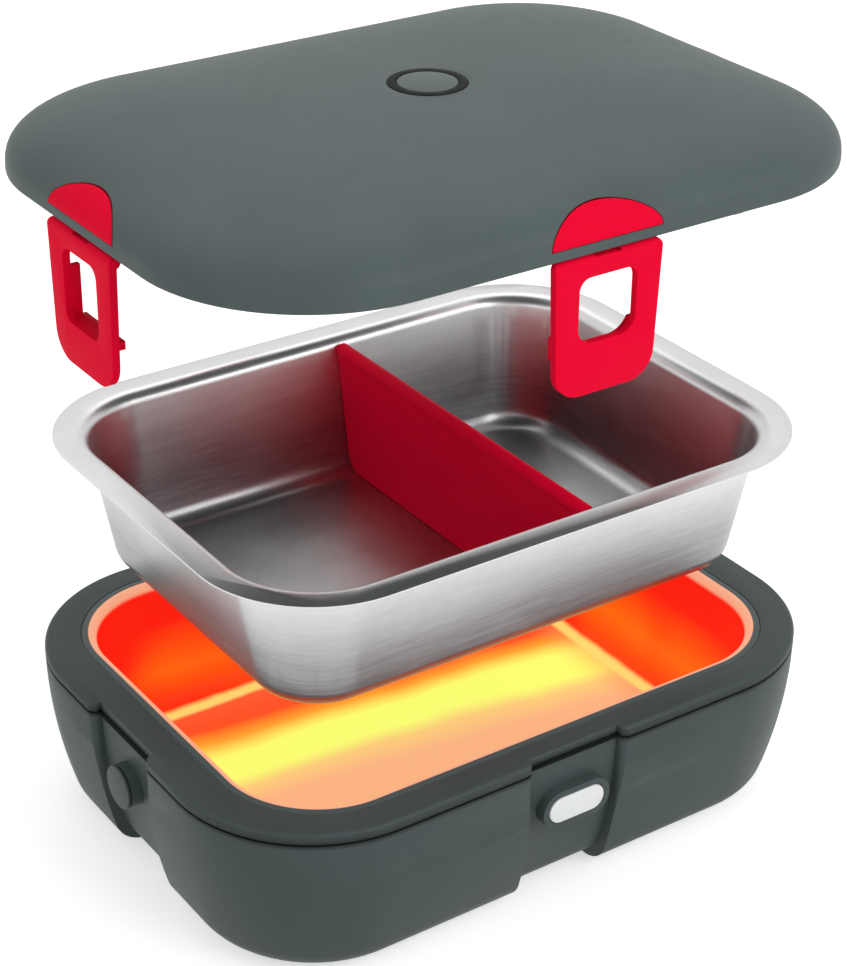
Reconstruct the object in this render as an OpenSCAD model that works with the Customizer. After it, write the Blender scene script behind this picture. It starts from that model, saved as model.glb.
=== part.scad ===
// Electric lunch box: heated base, lift-out steel tray with a divider, and a lid with four latches.
// The frame has +Z up and its origin under the middle of the feet. The front, with the power button,
// faces -Y, and the power inlet faces -X. The tray and the lid are drawn lifted off, one above the other.

/* [Base body] */
// Length of the base at its seam
body_l = 267; // [255:1:300]
// Width of the base at its seam
body_w = 201.6; // [198:0.2:230]
// Corner radius of the base in plan
corner_r = 56; // [52:1:60]
// Height of the seam between shell and rim above the feet's underside
seam_z = 64.4; // [63:0.2:70]
// Radius of the bulging side in section
bulge_r = 195; // [170:5:260]
// Radius of the round bottom edge
base_round = 13; // [10:0.5:15]
// Wall of the base shell
wall = 2.4; // [2:0.1:3]
// How far the feet stand out below the shell
foot_h = 1.4; // [1:0.1:2]
// Radius of a foot
foot_r = 7; // [5:0.5:9]

/* [Rim of the base] */
// Height of the rim above the seam
rim_h = 4.6; // [3.8:0.1:6]
// Height of the shadow groove between shell and rim
groove_h = 0.9; // [0.6:0.1:1.2]
// Depth of the shadow groove
groove_d = 1.2; // [0.8:0.1:1.6]
// Rounding of the rim's outer top edge
rim_round = 2; // [1:0.1:2.4]
// Length of the rim's skirt inside the shell
skirt_h = 6; // [4:0.5:9]
// Thickness of the rim's skirt
skirt_t = 1.6; // [1.2:0.1:2]

/* [Latch recesses and catches] */
// Width of a recess at its floor
recess_w = 40; // [38:0.5:44]
// Depth of a recess
recess_d = 4.2; // [4:0.1:5]
// Radius that the sides of a recess are rounded outwards with
recess_round = 3.8; // [3.4:0.1:4]
// Length of the long catches on the front and the back
catch_l = 30; // [28:0.5:32]
// Height of the long catches
catch_h = 16; // [15:0.2:17]
// Diameter of the round catches on the two ends
catch_d = 17; // [15:0.5:19]
// How far a round catch stands out past the side of the shell
catch_out = 1; // [0.6:0.1:1.4]
// How far a long catch stays behind the side of the latch plate
catch_gap = 0.5; // [0.3:0.1:0.8]

/* [Power button and inlet] */
// Length of the power button
button_l = 24.6; // [22:0.2:25.4]
// Height of the power button
button_h = 10.6; // [9:0.2:11]
// Travel of the power button
button_travel = 0.8; // [0.5:0.1:1]
// Gap round the power button
button_gap = 0.3; // [0.2:0.05:0.4]
// Outer diameter of the inlet socket
socket_d = 11; // [10:0.2:12]
// Bore of the inlet socket
socket_bore = 8; // [7:0.2:8.4]
// Thickness of the cap's disc on the inlet
cap_t = 1.6; // [1.2:0.1:1.8]

/* [Steel tray] */
// How far the tray's flange stays inside the base's seam at the two ends
tray_in_l = 10.1; // [8.6:0.1:12]
// How far the tray's flange stays inside the base's seam at the front and the back
tray_in_w = 6.6; // [6:0.1:9]
// Corner radius of the flange
tray_r = 46; // [42:1:48]
// Sheet thickness of the tray
tray_t = 0.7; // [0.5:0.1:0.8]
// Width of the flat part of the flange
flange_flat = 7.8; // [6:0.2:9]
// Radius where the flange turns down into the wall
roll_r = 5.5; // [5:0.1:7]
// Slant of the wall from upright
wall_slant = 10.4; // [8:0.2:12]
// Inner height of the tray
tray_depth = 55; // [50:0.5:56]
// Inner radius where wall meets floor
tray_round = 9; // [7:0.5:11]

/* [Divider] */
// Place of the divider along the length
divider_x = 15; // [-30:1:40]
// Thickness of the divider
divider_t = 4; // [3:0.2:6]
// Gap between divider and tray
divider_gap = 0.3; // [0.3:0.1:0.6]
// Distance of the divider's top below the flange
divider_drop = 2; // [1:0.5:20]

/* [Heating pan] */
// Sheet thickness of the pan
pan_t = 1.2; // [1:0.1:1.4]
// Gap between the tray's wall and the pan
pan_gap = 1.4; // [1:0.1:1.5]
// Gap between the tray's floor and the pan
floor_gap = 0.4; // [0.3:0.1:0.6]
// Width of the pan's lip outside its opening
lip_w = 5.6; // [5:0.2:6.4]
// Gap between the flange and the top of the rim
seat_gap = 0.4; // [0.3:0.1:0.6]

/* [Lid] */
// How far the lid overhangs the base on each side
lid_over = 1.2; // [1:0.1:1.6]
// Corner radius of the lid in plan
lid_r = 61.5; // [58:0.5:63]
// Height of the lid over its edge
lid_h = 26; // [24:0.5:30]
// Wall of the lid shell
lid_wall = 2.4; // [2:0.1:2.8]
// Gap between the lid's edge and the rim
lid_gap = 0.5; // [0.4:0.1:0.8]
// Radius of the vent button
vent_r = 10.7; // [9:0.1:12]
// Width of the black ring round the vent button
vent_ring_w = 3.5; // [2.5:0.1:4]
// Travel of the vent button
vent_travel = 1.5; // [1:0.1:2]

/* [Latches] */
// Width of a latch at its top
latch_w = 43.5; // [42:0.5:44]
// Width of a latch at its lower end
latch_end_w = 40.5; // [38:0.5:42]
// Length of a latch below the lid's edge
latch_len = 49; // [46:0.5:54]
// Thickness of the latch plate
latch_t = 2.8; // [2.6:0.1:3]
// How far the latch stands out past the lid's side
latch_out = 1.6; // [1.5:0.1:2.4]
// Radius of the latch's lower corners
latch_corner = 10; // [7:0.5:12]
// Width of the latch window
window_w = 23.5; // [21:0.5:24]
// Height of the latch window
window_h = 23.2; // [22:0.2:24]
// Distance from the lid's edge to the lower side of the window on the front and back latches
window_drop = 30.6; // [30:0.2:32]
// Radius of the window's upper corners
window_round = 4.5; // [3:0.5:6]
// Radius of the window's lower corners on the front and back latches
window_low_round = 6; // [4:0.5:7]
// Distance from the lid's edge to the top of the hook shelf
shelf_drop = 34; // [33:0.2:35]
// Gap between a catch and the hook shelf
hook_gap = 0.4; // [0.3:0.05:0.6]
// Thickness of the hook shelf
shelf_t = 3; // [2:0.2:4]
// Height of the shelf's cradle round the lower corners of a long catch
cradle_h = 5; // [3:0.5:6]
// Radius of the hinge pin
pin_r = 0.8; // [0.7:0.05:0.9]
// Running clearance of the latch on its pin
pin_clear = 0.05; // [0.03:0.01:0.08]
// Gap between the rounded top of a latch and the lid's edge
latch_gap = 0.3; // [0.3:0.05:0.6]
// Width of the hinge lug on the lid
lug_w = 10; // [8:0.5:14]
// Height of the edge bar below the inlay
bar_h = 4; // [3.4:0.1:5]
// Height of the inlay in front view
inlay_h = 10.1; // [8:0.1:11]
// Thickness of the inlay
inlay_t = 1.2; // [0.8:0.1:1.4]

/* [Lifted off] */
// How far the tray is lifted off the base
tray_up = 85.5; // [0:0.5:120]
// How far the lid is lifted off the tray
lid_up = 107.4; // [0:0.1:140]

/* [Hidden] */
$fn = 64;
SLATE = "#5b6765";
CRIMSON = "#f01040";
STEEL = "#c9cccd";
BLACK = "#1d1f20";

// Heights in the closed box
rim_z = seam_z + rim_h;
flange_z = rim_z + seat_gap + tray_t;
lid_z = rim_z + lid_gap;
lid_rest = tray_up + lid_up;

// Outline of the tray's flange
tray_l = body_l - 2 * tray_in_l;
tray_w = body_w - 2 * tray_in_w;

// Section of the base: the side arc runs into the bottom arc at the angle side_a
arc_z = foot_h + base_round;
arc_in = bulge_r - sqrt(pow(bulge_r - base_round, 2) - pow(seam_z - arc_z, 2));
side_a = asin((seam_z - arc_z) / (bulge_r - base_round));

// Bottom cover and its ledge
cover_in = 12;
cover_l = body_l - 2 * (arc_in + cover_in);
cover_w = body_w - 2 * (arc_in + cover_in);
cover_r = 24;
cover_gap = 0.3;
skirt_gap = 0.3;
recess_sharp = 0.15;
recess_reach = arc_in + cover_in + 2;
ledge_w = 8;
ledge_t = 1.8;
screw_in = 5;
screw_r = 1.5;
screw_head_r = 2.8;
screw_head_h = 1.2;
screw_boss_r = 3.4;
screw_boss_h = 5.6;
foot_in = 4;
foot_taper = 0.5;
foot_x = cover_l / 2 - cover_r - foot_r - foot_in;
foot_y = cover_w / 2 - foot_r - foot_in;

// Section of the tray: centres of its upper and lower arcs, in the plane of a corner
floor_z = flange_z - tray_depth;
top_c = [tray_r - flange_flat, flange_z - roll_r];
top_e = top_c + roll_r * [-cos(wall_slant), sin(wall_slant)];
slope_l = (top_e[1] + tray_round * sin(wall_slant) - floor_z - tray_round) / cos(wall_slant);
low_c = top_e + slope_l * [-sin(wall_slant), -cos(wall_slant)]
    + tray_round * [-cos(wall_slant), sin(wall_slant)];

// Pan, parallel to the tray and raised to keep its floor close
pan_off = tray_t + pan_gap;
pan_up = pan_gap - floor_gap;
pan_open_x = top_e[0] + pan_off;
pan_lip_x = pan_open_x + lip_w;
lip_gap = 0.3;
lip_seat = 2;
lip_z = flange_z - tray_t - floor_gap;
pan_under_z = floor_z - pan_off - pan_t + pan_up;
heater_t = 1.2;
pad_t = 4;
pad_in = 4;
thermostat_r = 8;
thermostat_h = 6;
tab_h = 1.4;
fuse_x = -40;
fuse_r = 2;
fuse_l = 12;
fuse_room = 2;

// Catches, button and inlet, in the frame of a side: -Y outwards, Y = 0 at the side of the shell
shelf_z = lid_z - shelf_drop;
long_catch_z = shelf_z + hook_gap + catch_h / 2;
round_catch_z = shelf_z + hook_gap + catch_d / 2;
latch_front_y = -lid_over - latch_out;
latch_back_y = latch_front_y + latch_t;
long_catch_y = latch_back_y + catch_gap;
floor_y = recess_floor(long_catch_z);
inner_y = floor_y + wall;
button_flange = 2;
button_flange_t = 1.2;
button_proud = 0.4;
button_back_y = inner_y + 0.4;
switch_y = button_back_y + button_flange_t + button_travel + 0.4;
switch_t = 2.6;
board_y = switch_y + switch_t;
board_t = 1.6;
board_l = 64;
board_h = 30;
post_x = board_l / 2 - 5;
post_r = 3;
post_bore = 1;
board_screw_l = 4;
board_head_r = 2;
board_head_h = 1.4;
switch_w = 6;
switch_pin_r = 1.6;
led_x = 7;
led_r = 1.5;
led_h = 1.6;
button_hole_l = button_l + 2 * button_gap;
button_hole_h = button_h + 2 * button_gap;
socket_back_y = inner_y + 10;
socket_collar = 2.5;
socket_collar_t = 1.8;
socket_end_t = 1.6;
inlet_pin_r = 1;

// Lid form: a crowned dome drawn as a stack of rounded outlines. Their corner radius falls from lid_r
// to DOME_TIP at the crown, with a pull towards it.
DOME_REACH = 100;
DOME_TIP = 2;
DOME_PULL = 23;
DOME_EDGE = 1.066;
DOME_RISE = 0.65;
DOME_T = [0, 5, 11, 18, 25, 33, 42, 52, 63, 75, 90];
SIDE_T = [0, 5, 11, 18, 25, 33];
divider_bead = 0.8;
liner_z = 6;
liner_t = 1.8;
liner_post_in = 40;
liner_post_x = body_l / 2 - liner_post_in;
liner_post_y = body_w / 2 - liner_post_in;
liner_post_r = 3;
gasket_in = 2;
gasket_w = 4.5;
gasket_gap = 0.3;
vent_top_z = lid_z + lid_h;
vent_disc_t = 3.2;
vent_well = 8;
vent_ring_h = 1.8;
vent_stem_r = 2.5;
vent_head_r = 5;
vent_proud = 0.2;
vent_gap = 0.3;
vent_wall = 2;
vent_valve_t = 1.4;
liner_over = 0.3;
inlay_gap = 0.15;
inlay_proud = 0.25;
inlay_over = 0.5;

// Latch hinge
knuckle_r = latch_t;
pin_drop = knuckle_r + latch_gap;
pin_z = lid_z - pin_drop;
pin_y = latch_front_y + knuckle_r;
lug_r = pin_r + 0.9;
lug_gap = 0.3;
lug_back_y = recess_d - 0.7;
shelf_back_gap = 0.8;
knuckle_w = recess_w - 1.4;
pin_l = knuckle_w - 2;
bore_l = pin_l + 0.8;
collar_t = 2;
latch_top_round = 2;
LATCH_SWING = 90;
slot_half = lug_r + lug_gap;

// Depth of a recess floor behind the side of the shell at height z
function recess_floor(z) = recess_d + bulge_r - sqrt(pow(bulge_r, 2) - pow(seam_z - z, 2));

// Plain shapes
module round_rect(l, w, r, h) {
    linear_extrude(h) round_rect_2d(l, w, r);
}
module round_rect_2d(l, w, r) {
    square([l - 2 * r, w], center = true);
    square([l, w - 2 * r], center = true);
    for (sx = [-1, 1], sy = [-1, 1])
        translate([sx * (l / 2 - r), sy * (w / 2 - r)]) circle(r);
}
module stadium(l, h, t) {
    // Lies across X and Z, with its depth along Y
    rotate([90, 0, 0]) translate([0, 0, -t]) {
        linear_extrude(t) square([l - h, h], center = true);
        for (s = [-1, 1]) translate([s * (l - h) / 2, 0, 0]) cylinder(r = h / 2, h = t);
    }
}
module rod_y(r, y0, y1) {
    translate([0, y1, 0]) rotate([90, 0, 0]) cylinder(r = r, h = y1 - y0);
}

// Carries a section, drawn outwards from the corner centres, round the outline of a rounded rectangle
module sweep_round(l, w, r) {
    cx = l / 2 - r;
    cy = w / 2 - r;
    for (q = [0:3])
        translate([(q == 0 || q == 3 ? 1 : -1) * cx, (q < 2 ? 1 : -1) * cy, 0])
            rotate([0, 0, 90 * q]) rotate_extrude(angle = 90) children();
    for (s = [0, 1]) rotate([0, 0, 180 * s]) {
        translate([cx, cy, 0]) rotate([90, 0, 0]) linear_extrude(2 * cy) children();
        translate([-cx, cy, 0]) rotate([90, 0, 90]) linear_extrude(2 * cx) children();
    }
}
module middle(l, w, r, z0, z1) {
    translate([r - l / 2, r - w / 2, z0]) cube([l - 2 * r, w - 2 * r, z1 - z0]);
}

// Section of the base at a distance off inside its outer face: the bulging side runs into the bottom arc
module base_section(off, top) {
    join_z = seam_z - (bulge_r - off) * sin(side_a);
    intersection() {
        translate([corner_r - bulge_r, seam_z]) circle(bulge_r - off, $fn = 360);
        translate([0, join_z]) square([corner_r, top - join_z]);
    }
    translate([corner_r - arc_in, arc_z]) circle(base_round - off);
    translate([0, foot_h + off]) square([corner_r - arc_in, arc_z - foot_h - off]);
}
module base_form(off, top) {
    sweep_round(body_l, body_w, corner_r) base_section(off, top);
    middle(body_l, body_w, corner_r, foot_h + off, top);
}

// Places its children on side k: 0 front, 1 right, 2 back, 3 left
module on_side(k) {
    rotate([0, 0, 90 * k]) translate([0, -(k % 2 == 0 ? body_w : body_l) / 2, 0]) children();
}
module recess_plan(grow) {
    wi = recess_w / 2 + grow;
    out = -2 * lid_over;
    centre = [recess_w / 2 + recess_round, recess_round - recess_sharp];
    translate([-wi, out]) square([2 * wi, recess_reach + grow - out]);
    for (s = [-1, 1]) scale([s, 1]) difference() {
        translate([wi - 1, out]) square([centre[0] - wi + 1, centre[1] - out]);
        translate(centre) circle(recess_round - grow);
    }
}
module recess_bands(grow, z0, z1) {
    for (k = [0:3]) on_side(k) translate([0, 0, z0]) linear_extrude(z1 - z0) recess_plan(grow);
}

// Base
module shell_wall() {
    top = seam_z;
    difference() {
        base_form(0, top);
        difference() {
            recess_bands(0, 0, top + 1);
            base_form(recess_d, top + 2);
        }
        difference() {
            base_form(wall, top + 1);
            recess_bands(wall, 0, top + 2);
        }
        intersection() {
            base_form(wall + recess_d, top + 1);
            recess_bands(wall, 0, top + 2);
        }
    }
}
module cover_ring(grow, z0, h) {
    translate([0, 0, z0]) round_rect(cover_l + 2 * grow, cover_w + 2 * grow, cover_r + grow, h);
}
module at_cover_screws() {
    d = (cover_r - screw_in) * cos(45);
    for (sx = [-1, 1], sy = [-1, 1])
        translate([sx * (cover_l / 2 - cover_r + d), sy * (cover_w / 2 - cover_r + d), 0]) children();
}
module base_shell() {
    color(SLATE) difference() {
        union() {
            shell_wall();
            // Ledge and screw bosses for the bottom cover
            difference() {
                cover_ring(ledge_w / 2, foot_h + wall - 0.2, ledge_t + 0.2);
                cover_ring(-ledge_w, foot_h, ledge_t + wall + 1);
            }
            at_cover_screws() translate([0, 0, foot_h + wall]) cylinder(r = screw_boss_r, h = screw_boss_h);
            // Long catches on the front and the back
            for (k = [0, 2]) on_side(k) translate([0, long_catch_y, long_catch_z])
                stadium(catch_l, catch_h, floor_y + wall / 2 - long_catch_y);
            // Round catches on the two ends, the left one cut short for its cap
            on_side(1) translate([0, 0, round_catch_z]) rod_y(catch_d / 2, -catch_out, floor_y + wall / 2);
            on_side(3) translate([0, 0, round_catch_z])
                rod_y(catch_d / 2, cap_t - catch_out, floor_y + wall / 2);
            // Posts that carry the control board
            on_side(0) for (s = [-1, 1]) translate([s * post_x, 0, long_catch_z])
                rod_y(post_r, wall / 2, board_y);
        }
        cover_ring(cover_gap, foot_h - 1, wall + 1);
        at_cover_screws() translate([0, 0, foot_h]) cylinder(r = screw_r, h = wall + screw_boss_h - 1);
        // Opening of the power button
        on_side(0) translate([0, long_catch_y - 1, long_catch_z])
            stadium(button_hole_l, button_hole_h, inner_y + 3);
        on_side(0) translate([0, inner_y, long_catch_z])
            stadium(button_hole_l + 2 * button_flange, button_hole_h + 2 * button_flange, switch_y - inner_y);
        // Opening of the inlet
        on_side(3) translate([0, 0, round_catch_z]) rod_y(socket_d / 2 + 0.1, -catch_out - 1, inner_y + 3);
        on_side(3) translate([0, 0, round_catch_z])
            rod_y(socket_d / 2 + socket_collar + 0.3, inner_y, inner_y + 5);
        on_side(0) for (s = [-1, 1]) translate([s * post_x, 0, long_catch_z])
            rod_y(post_bore, board_y - board_screw_l - 1, board_y + 1);
    }
}
module rim_outline(off) {
    // Outline of the base at its seam with the recesses, at a distance off inside it
    difference() {
        round_rect_2d(body_l - 2 * off, body_w - 2 * off, corner_r - off);
        difference() {
            for (k = [0:3]) on_side(k) recess_plan(off);
            round_rect_2d(body_l - 2 * (recess_d + off), body_w - 2 * (recess_d + off), corner_r - recess_d - off);
        }
    }
}
module rim_section() {
    low_z = seam_z + groove_h;
    translate([0, low_z]) square([corner_r - rim_round, rim_z - low_z]);
    translate([0, low_z]) square([corner_r, rim_z - rim_round - low_z]);
    translate([corner_r - rim_round, rim_z - rim_round]) circle(rim_round);
}
module pan_seat(grow, z0, h) {
    e = 2 * (pan_lip_x - tray_r + grow);
    translate([0, 0, z0]) round_rect(tray_l + e, tray_w + e, pan_lip_x + grow, h);
}
module base_rim() {
    skirt_off = wall + skirt_gap;
    color(SLATE) difference() {
        union() {
            // Plate with a round outer edge, following the recesses
            intersection() {
                translate([0, 0, seam_z]) linear_extrude(rim_h) rim_outline(0);
                union() {
                    sweep_round(body_l, body_w, corner_r) rim_section();
                    middle(body_l, body_w, corner_r, seam_z + groove_h, rim_z);
                }
            }
            // Neck behind the shadow groove
            translate([0, 0, seam_z]) linear_extrude(groove_h + 0.1) rim_outline(groove_d);
            // Skirt inside the shell, broken at the recesses
            difference() {
                translate([0, 0, seam_z - skirt_h]) round_rect(body_l - 2 * skirt_off,
                    body_w - 2 * skirt_off, corner_r - skirt_off, skirt_h + 0.1);
                recess_bands(wall + skirt_gap, seam_z - skirt_h - 1, seam_z);
                translate([0, 0, seam_z - skirt_h - 1]) round_rect(body_l - 2 * (skirt_off + skirt_t),
                    body_w - 2 * (skirt_off + skirt_t), corner_r - skirt_off - skirt_t, skirt_h + 1);
            }
        }
        // Opening, with a rebate for the pan's lip
        pan_seat(lip_gap, lip_z - pan_t, pan_t + 1);
        pan_seat(-lip_seat, seam_z - 1, rim_h + 2);
    }
}
module bottom_cover() {
    color(SLATE) difference() {
        cover_ring(0, foot_h, wall);
        at_cover_screws() cylinder(r = screw_r + 0.2, h = foot_h + wall + 1);
        at_cover_screws() cylinder(r = screw_head_r + 0.3, h = foot_h + screw_head_h + 0.1);
    }
}
module cover_screws() {
    color(STEEL) at_cover_screws() translate([0, 0, foot_h + 0.1]) {
        cylinder(r = screw_head_r, h = screw_head_h);
        cylinder(r = screw_r, h = wall + screw_boss_h - 1.4);
    }
}
module feet() {
    color(BLACK) for (sx = [-1, 1], sy = [-1, 1])
        translate([sx * foot_x, sy * foot_y, 0]) cylinder(r1 = foot_r - foot_taper, r2 = foot_r, h = foot_h);
}

// Space above the tray's sheet in section, grown outwards by off: floor, lower arc, slanted wall, roll
module dish_space(off) {
    roll = roll_r - off;
    round = tray_round + off;
    wall_top = top_c + roll * [-cos(wall_slant), sin(wall_slant)];
    wall_low = low_c + round * [cos(wall_slant), -sin(wall_slant)];
    difference() {
        union() {
            polygon([[0, floor_z - off], [low_c[0], floor_z - off], low_c, wall_low, wall_top, top_c,
                [top_c[0], flange_z - off], [0, flange_z - off]]);
            translate(low_c) circle(round);
        }
        translate(top_c) circle(roll);
    }
}
module dish_section(off, t, x_out) {
    difference() {
        union() {
            dish_space(off + t);
            translate([0, flange_z - off - t]) square([x_out, t]);
        }
        dish_space(off);
    }
}
module dish(off, t, x_out) {
    sweep_round(tray_l, tray_w, tray_r) dish_section(off, t, x_out);
    middle(tray_l, tray_w, tray_r, floor_z - off - t, floor_z - off);
}
module heating_pan() {
    color("#e2603a") translate([0, 0, pan_up]) dish(pan_off, pan_t, pan_lip_x);
}
module floor_heater() {
    fl = tray_l - 2 * (tray_r - low_c[0]);
    fw = tray_w - 2 * (tray_r - low_c[0]);
    color("#b8863c") translate([0, 0, pan_under_z - heater_t]) difference() {
        round_rect(fl, fw, low_c[0], heater_t);
        translate([0, 0, -1]) cylinder(r = thermostat_r + 1, h = heater_t + 2);
    }
}
module wall_heater() {
    band_z = floor_z + tray_depth * 0.3;
    band_h = tray_depth * 0.3;
    off = pan_off + pan_t + 0.05;
    color("#b8863c") sweep_round(tray_l, tray_w, tray_r) intersection() {
        translate([0, pan_up]) dish_section(off, 0.6, pan_lip_x);
        translate([0, band_z]) square([tray_r, band_h]);
    }
}
module insulation_pad() {
    color("#d8d4c8") translate([0, 0, pan_under_z - heater_t - pad_t]) difference() {
        in = ledge_w + pad_in;
        round_rect(cover_l - 2 * in, cover_w - 2 * in, cover_r - in, pad_t);
        translate([0, 0, -1]) cylinder(r = thermostat_r + 1, h = pad_t + 2);
        translate([fuse_x - fuse_l / 2 - fuse_room, -fuse_r - fuse_room, -1])
            cube([fuse_l + 2 * fuse_room, 2 * (fuse_r + fuse_room), pad_t + 2]);
    }
}
module thermostat() {
    color(STEEL) translate([0, 0, pan_under_z - thermostat_h]) {
        cylinder(r = thermostat_r, h = thermostat_h);
        for (s = [-1, 1]) translate([s * thermostat_r / 2 - 1, -3, -tab_h]) cube([2, 6, tab_h + 0.1]);
    }
}
module thermal_fuse() {
    color(STEEL) translate([fuse_x - fuse_l / 2, 0, pan_under_z - heater_t - fuse_r]) rotate([0, 90, 0])
        cylinder(r = fuse_r, h = fuse_l);
}
module control_board() {
    color("#1f6b45") on_side(0) difference() {
        translate([-board_l / 2, board_y, long_catch_z - board_h / 2]) cube([board_l, board_t, board_h]);
        for (s = [-1, 1]) translate([s * post_x, 0, long_catch_z])
            rod_y(post_bore + 0.2, board_y - 1, board_y + board_t + 1);
    }
}
module board_screws() {
    color(STEEL) on_side(0) for (s = [-1, 1]) translate([s * post_x, 0, long_catch_z]) {
        rod_y(post_bore - 0.05, board_y - board_screw_l, board_y + board_t + 0.2);
        rod_y(board_head_r, board_y + board_t, board_y + board_t + board_head_h);
    }
}
module power_switch() {
    color(BLACK) on_side(0) translate([0, 0, long_catch_z]) {
        translate([-switch_w / 2, switch_y + 1, -switch_w / 2]) cube([switch_w, switch_t - 1, switch_w]);
        rod_y(switch_pin_r, switch_y, switch_y + 1.2);
    }
}
module status_led() {
    color("#f4f4ee") on_side(0) translate([led_x, 0, long_catch_z])
        rod_y(led_r, board_y - led_h, board_y);
}
module power_button() {
    color("white") on_side(0) translate([0, 0, long_catch_z]) {
        translate([0, long_catch_y - button_proud, 0])
            stadium(button_l, button_h, button_back_y - long_catch_y + button_proud + 0.1);
        translate([0, button_back_y, 0])
            stadium(button_l + 2 * button_flange, button_h + 2 * button_flange, button_flange_t);
    }
}
module inlet_socket() {
    color(BLACK) on_side(3) translate([0, 0, round_catch_z]) difference() {
        union() {
            rod_y(socket_d / 2, cap_t - catch_out + 1.2, socket_back_y);
            rod_y(socket_d / 2 + socket_collar, inner_y + 0.05, inner_y + socket_collar_t);
        }
        rod_y(socket_bore / 2, cap_t - catch_out, socket_back_y - socket_end_t);
    }
}
module inlet_pin() {
    color("#c8a24a") on_side(3) translate([0, 0, round_catch_z])
        rod_y(inlet_pin_r, inner_y + 0.5, socket_back_y - socket_end_t);
}
module inlet_cap() {
    color(SLATE) on_side(3) translate([0, 0, round_catch_z]) {
        rod_y(catch_d / 2, -catch_out, cap_t - catch_out - 0.3);
        rod_y(socket_bore / 2 - 0.3, cap_t - catch_out - 0.4, inner_y);
    }
}

// Tray and divider
module tray() {
    color(STEEL) translate([0, 0, tray_up]) dish(0, tray_t, tray_r);
}
module divider() {
    half = tray_w / 2 - tray_r;
    bead_r = divider_t / 2 + divider_bead;
    top_z = flange_z - divider_drop;
    // The bead ends where its lower side would meet the slanted wall
    wall_y = half + top_e[0] - (top_e[1] - top_z + 2 * bead_r) * tan(wall_slant);
    bead_end = wall_y - 2 * divider_gap;
    color(CRIMSON) translate([divider_x, 0, tray_up]) {
        rotate([90, 0, 90]) translate([0, 0, -divider_t / 2]) linear_extrude(divider_t) intersection() {
            for (s = [-1, 1]) scale([s, 1]) {
                translate([half, 0]) dish_space(-divider_gap);
                translate([0, floor_z + divider_gap]) square([half, tray_depth]);
            }
            translate([-tray_w, 0]) square([2 * tray_w, top_z - bead_r]);
        }
        // Bead along the top edge
        translate([0, 0, top_z - bead_r]) rod_y(bead_r, -bead_end, bead_end);
    }
}

// Lid
function dome_in(t) = DOME_REACH * (1 - pow(cos(t), DOME_EDGE));
function dome_r(i) = lid_r - (lid_r - DOME_TIP + DOME_PULL) * i / DOME_REACH
    + DOME_PULL * pow(i / DOME_REACH, 2);
module lid_form(off, low, angles = DOME_T, sides = 48) {
    lid_l = body_l + 2 * lid_over;
    lid_w = body_w + 2 * lid_over;
    hull() for (t = angles) {
        i = dome_in(t);
        r = max(dome_r(i) - off, 0.6);
        z = t == 0 ? -low : (lid_h - off) * pow(sin(t), DOME_RISE);
        for (sx = [-1, 1], sy = [-1, 1])
            translate([sx * (lid_l / 2 - i - off - r), sy * (lid_w / 2 - i - off - r), lid_z + z])
                cylinder(r = r, h = 0.01, $fn = sides);
    }
}
module inlay_plan(k, grow) {
    // Half oval in front view, run through the lid's edge
    half = latch_w / 2 + inlay_over + grow;
    high = inlay_h + 2 * grow;
    on_side(k) translate([0, 0, lid_z + bar_h - grow]) rotate([90, 0, 0]) translate([0, 0, -lid_h / 2])
        linear_extrude(lid_h) polygon([for (a = [0:7.5:180]) [half * cos(a), high * sin(a)]]);
}
module lug(y0) {
    // Reaches from the lid's inner side behind the latch to the pin
    on_side(y0) translate([-lug_w / 2, 0, 0]) rotate([90, 0, 90]) linear_extrude(lug_w) {
        translate([pin_y, pin_z]) circle(lug_r);
        polygon([[pin_y, pin_z - lug_r], [lug_back_y, pin_z - lug_r], [lug_back_y, lid_z + bar_h],
                 [lid_wall - lid_over - 0.6, lid_z + bar_h], [lid_wall - lid_over - 0.6, lid_z],
                 [pin_y + lug_r + 0.6, lid_z], [pin_y + lug_r + 0.6, pin_z + lug_r], [pin_y, pin_z + lug_r]]);
    }
}
module lid_shell() {
    color(SLATE) translate([0, 0, lid_rest]) difference() {
        union() {
            difference() {
                lid_form(0, 0);
                lid_form(lid_wall, 1);
                // Seats of the four inlays
                intersection() {
                    difference() {
                        lid_form(-1, 0);
                        lid_form(inlay_t, 1);
                    }
                    for (k = [0:3]) inlay_plan(k, inlay_gap);
                }
            }
            for (k = [0:3]) lug(k);
            // Posts that the liner hangs from
            intersection() {
                lid_form(lid_wall / 2, 1);
                for (sx = [-1, 1], sy = [-1, 1])
                    translate([sx * liner_post_x, sy * liner_post_y, lid_z + liner_z + liner_t])
                        cylinder(r = liner_post_r, h = lid_h);
            }
            // Well of the vent button
            translate([0, 0, vent_top_z - vent_well]) cylinder(r = vent_r + vent_wall, h = vent_well - 0.6);
        }
        translate([0, 0, vent_top_z - vent_disc_t - vent_travel - 0.5])
            cylinder(r = vent_r + vent_gap, h = lid_h);
        translate([0, 0, vent_top_z - vent_ring_h]) cylinder(r = vent_r + vent_ring_w, h = lid_h);
        translate([0, 0, lid_z]) cylinder(r = vent_stem_r + vent_gap, h = lid_h);
        for (k = [0:3]) on_side(k) translate([-lug_w, pin_y, pin_z]) rotate([0, 90, 0])
            cylinder(r = pin_r, h = 2 * lug_w);
    }
}
module lid_liner() {
    i = dome_in(SIDE_T[2]) + lid_wall + 0.6;
    color(SLATE) translate([0, 0, lid_rest + lid_z + liner_z]) difference() {
        round_rect(body_l + 2 * lid_over - 2 * i, body_w + 2 * lid_over - 2 * i, lid_r - i, liner_t);
        translate([0, 0, -1]) cylinder(r = vent_stem_r + vent_gap, h = liner_t + 2);
    }
}
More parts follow.
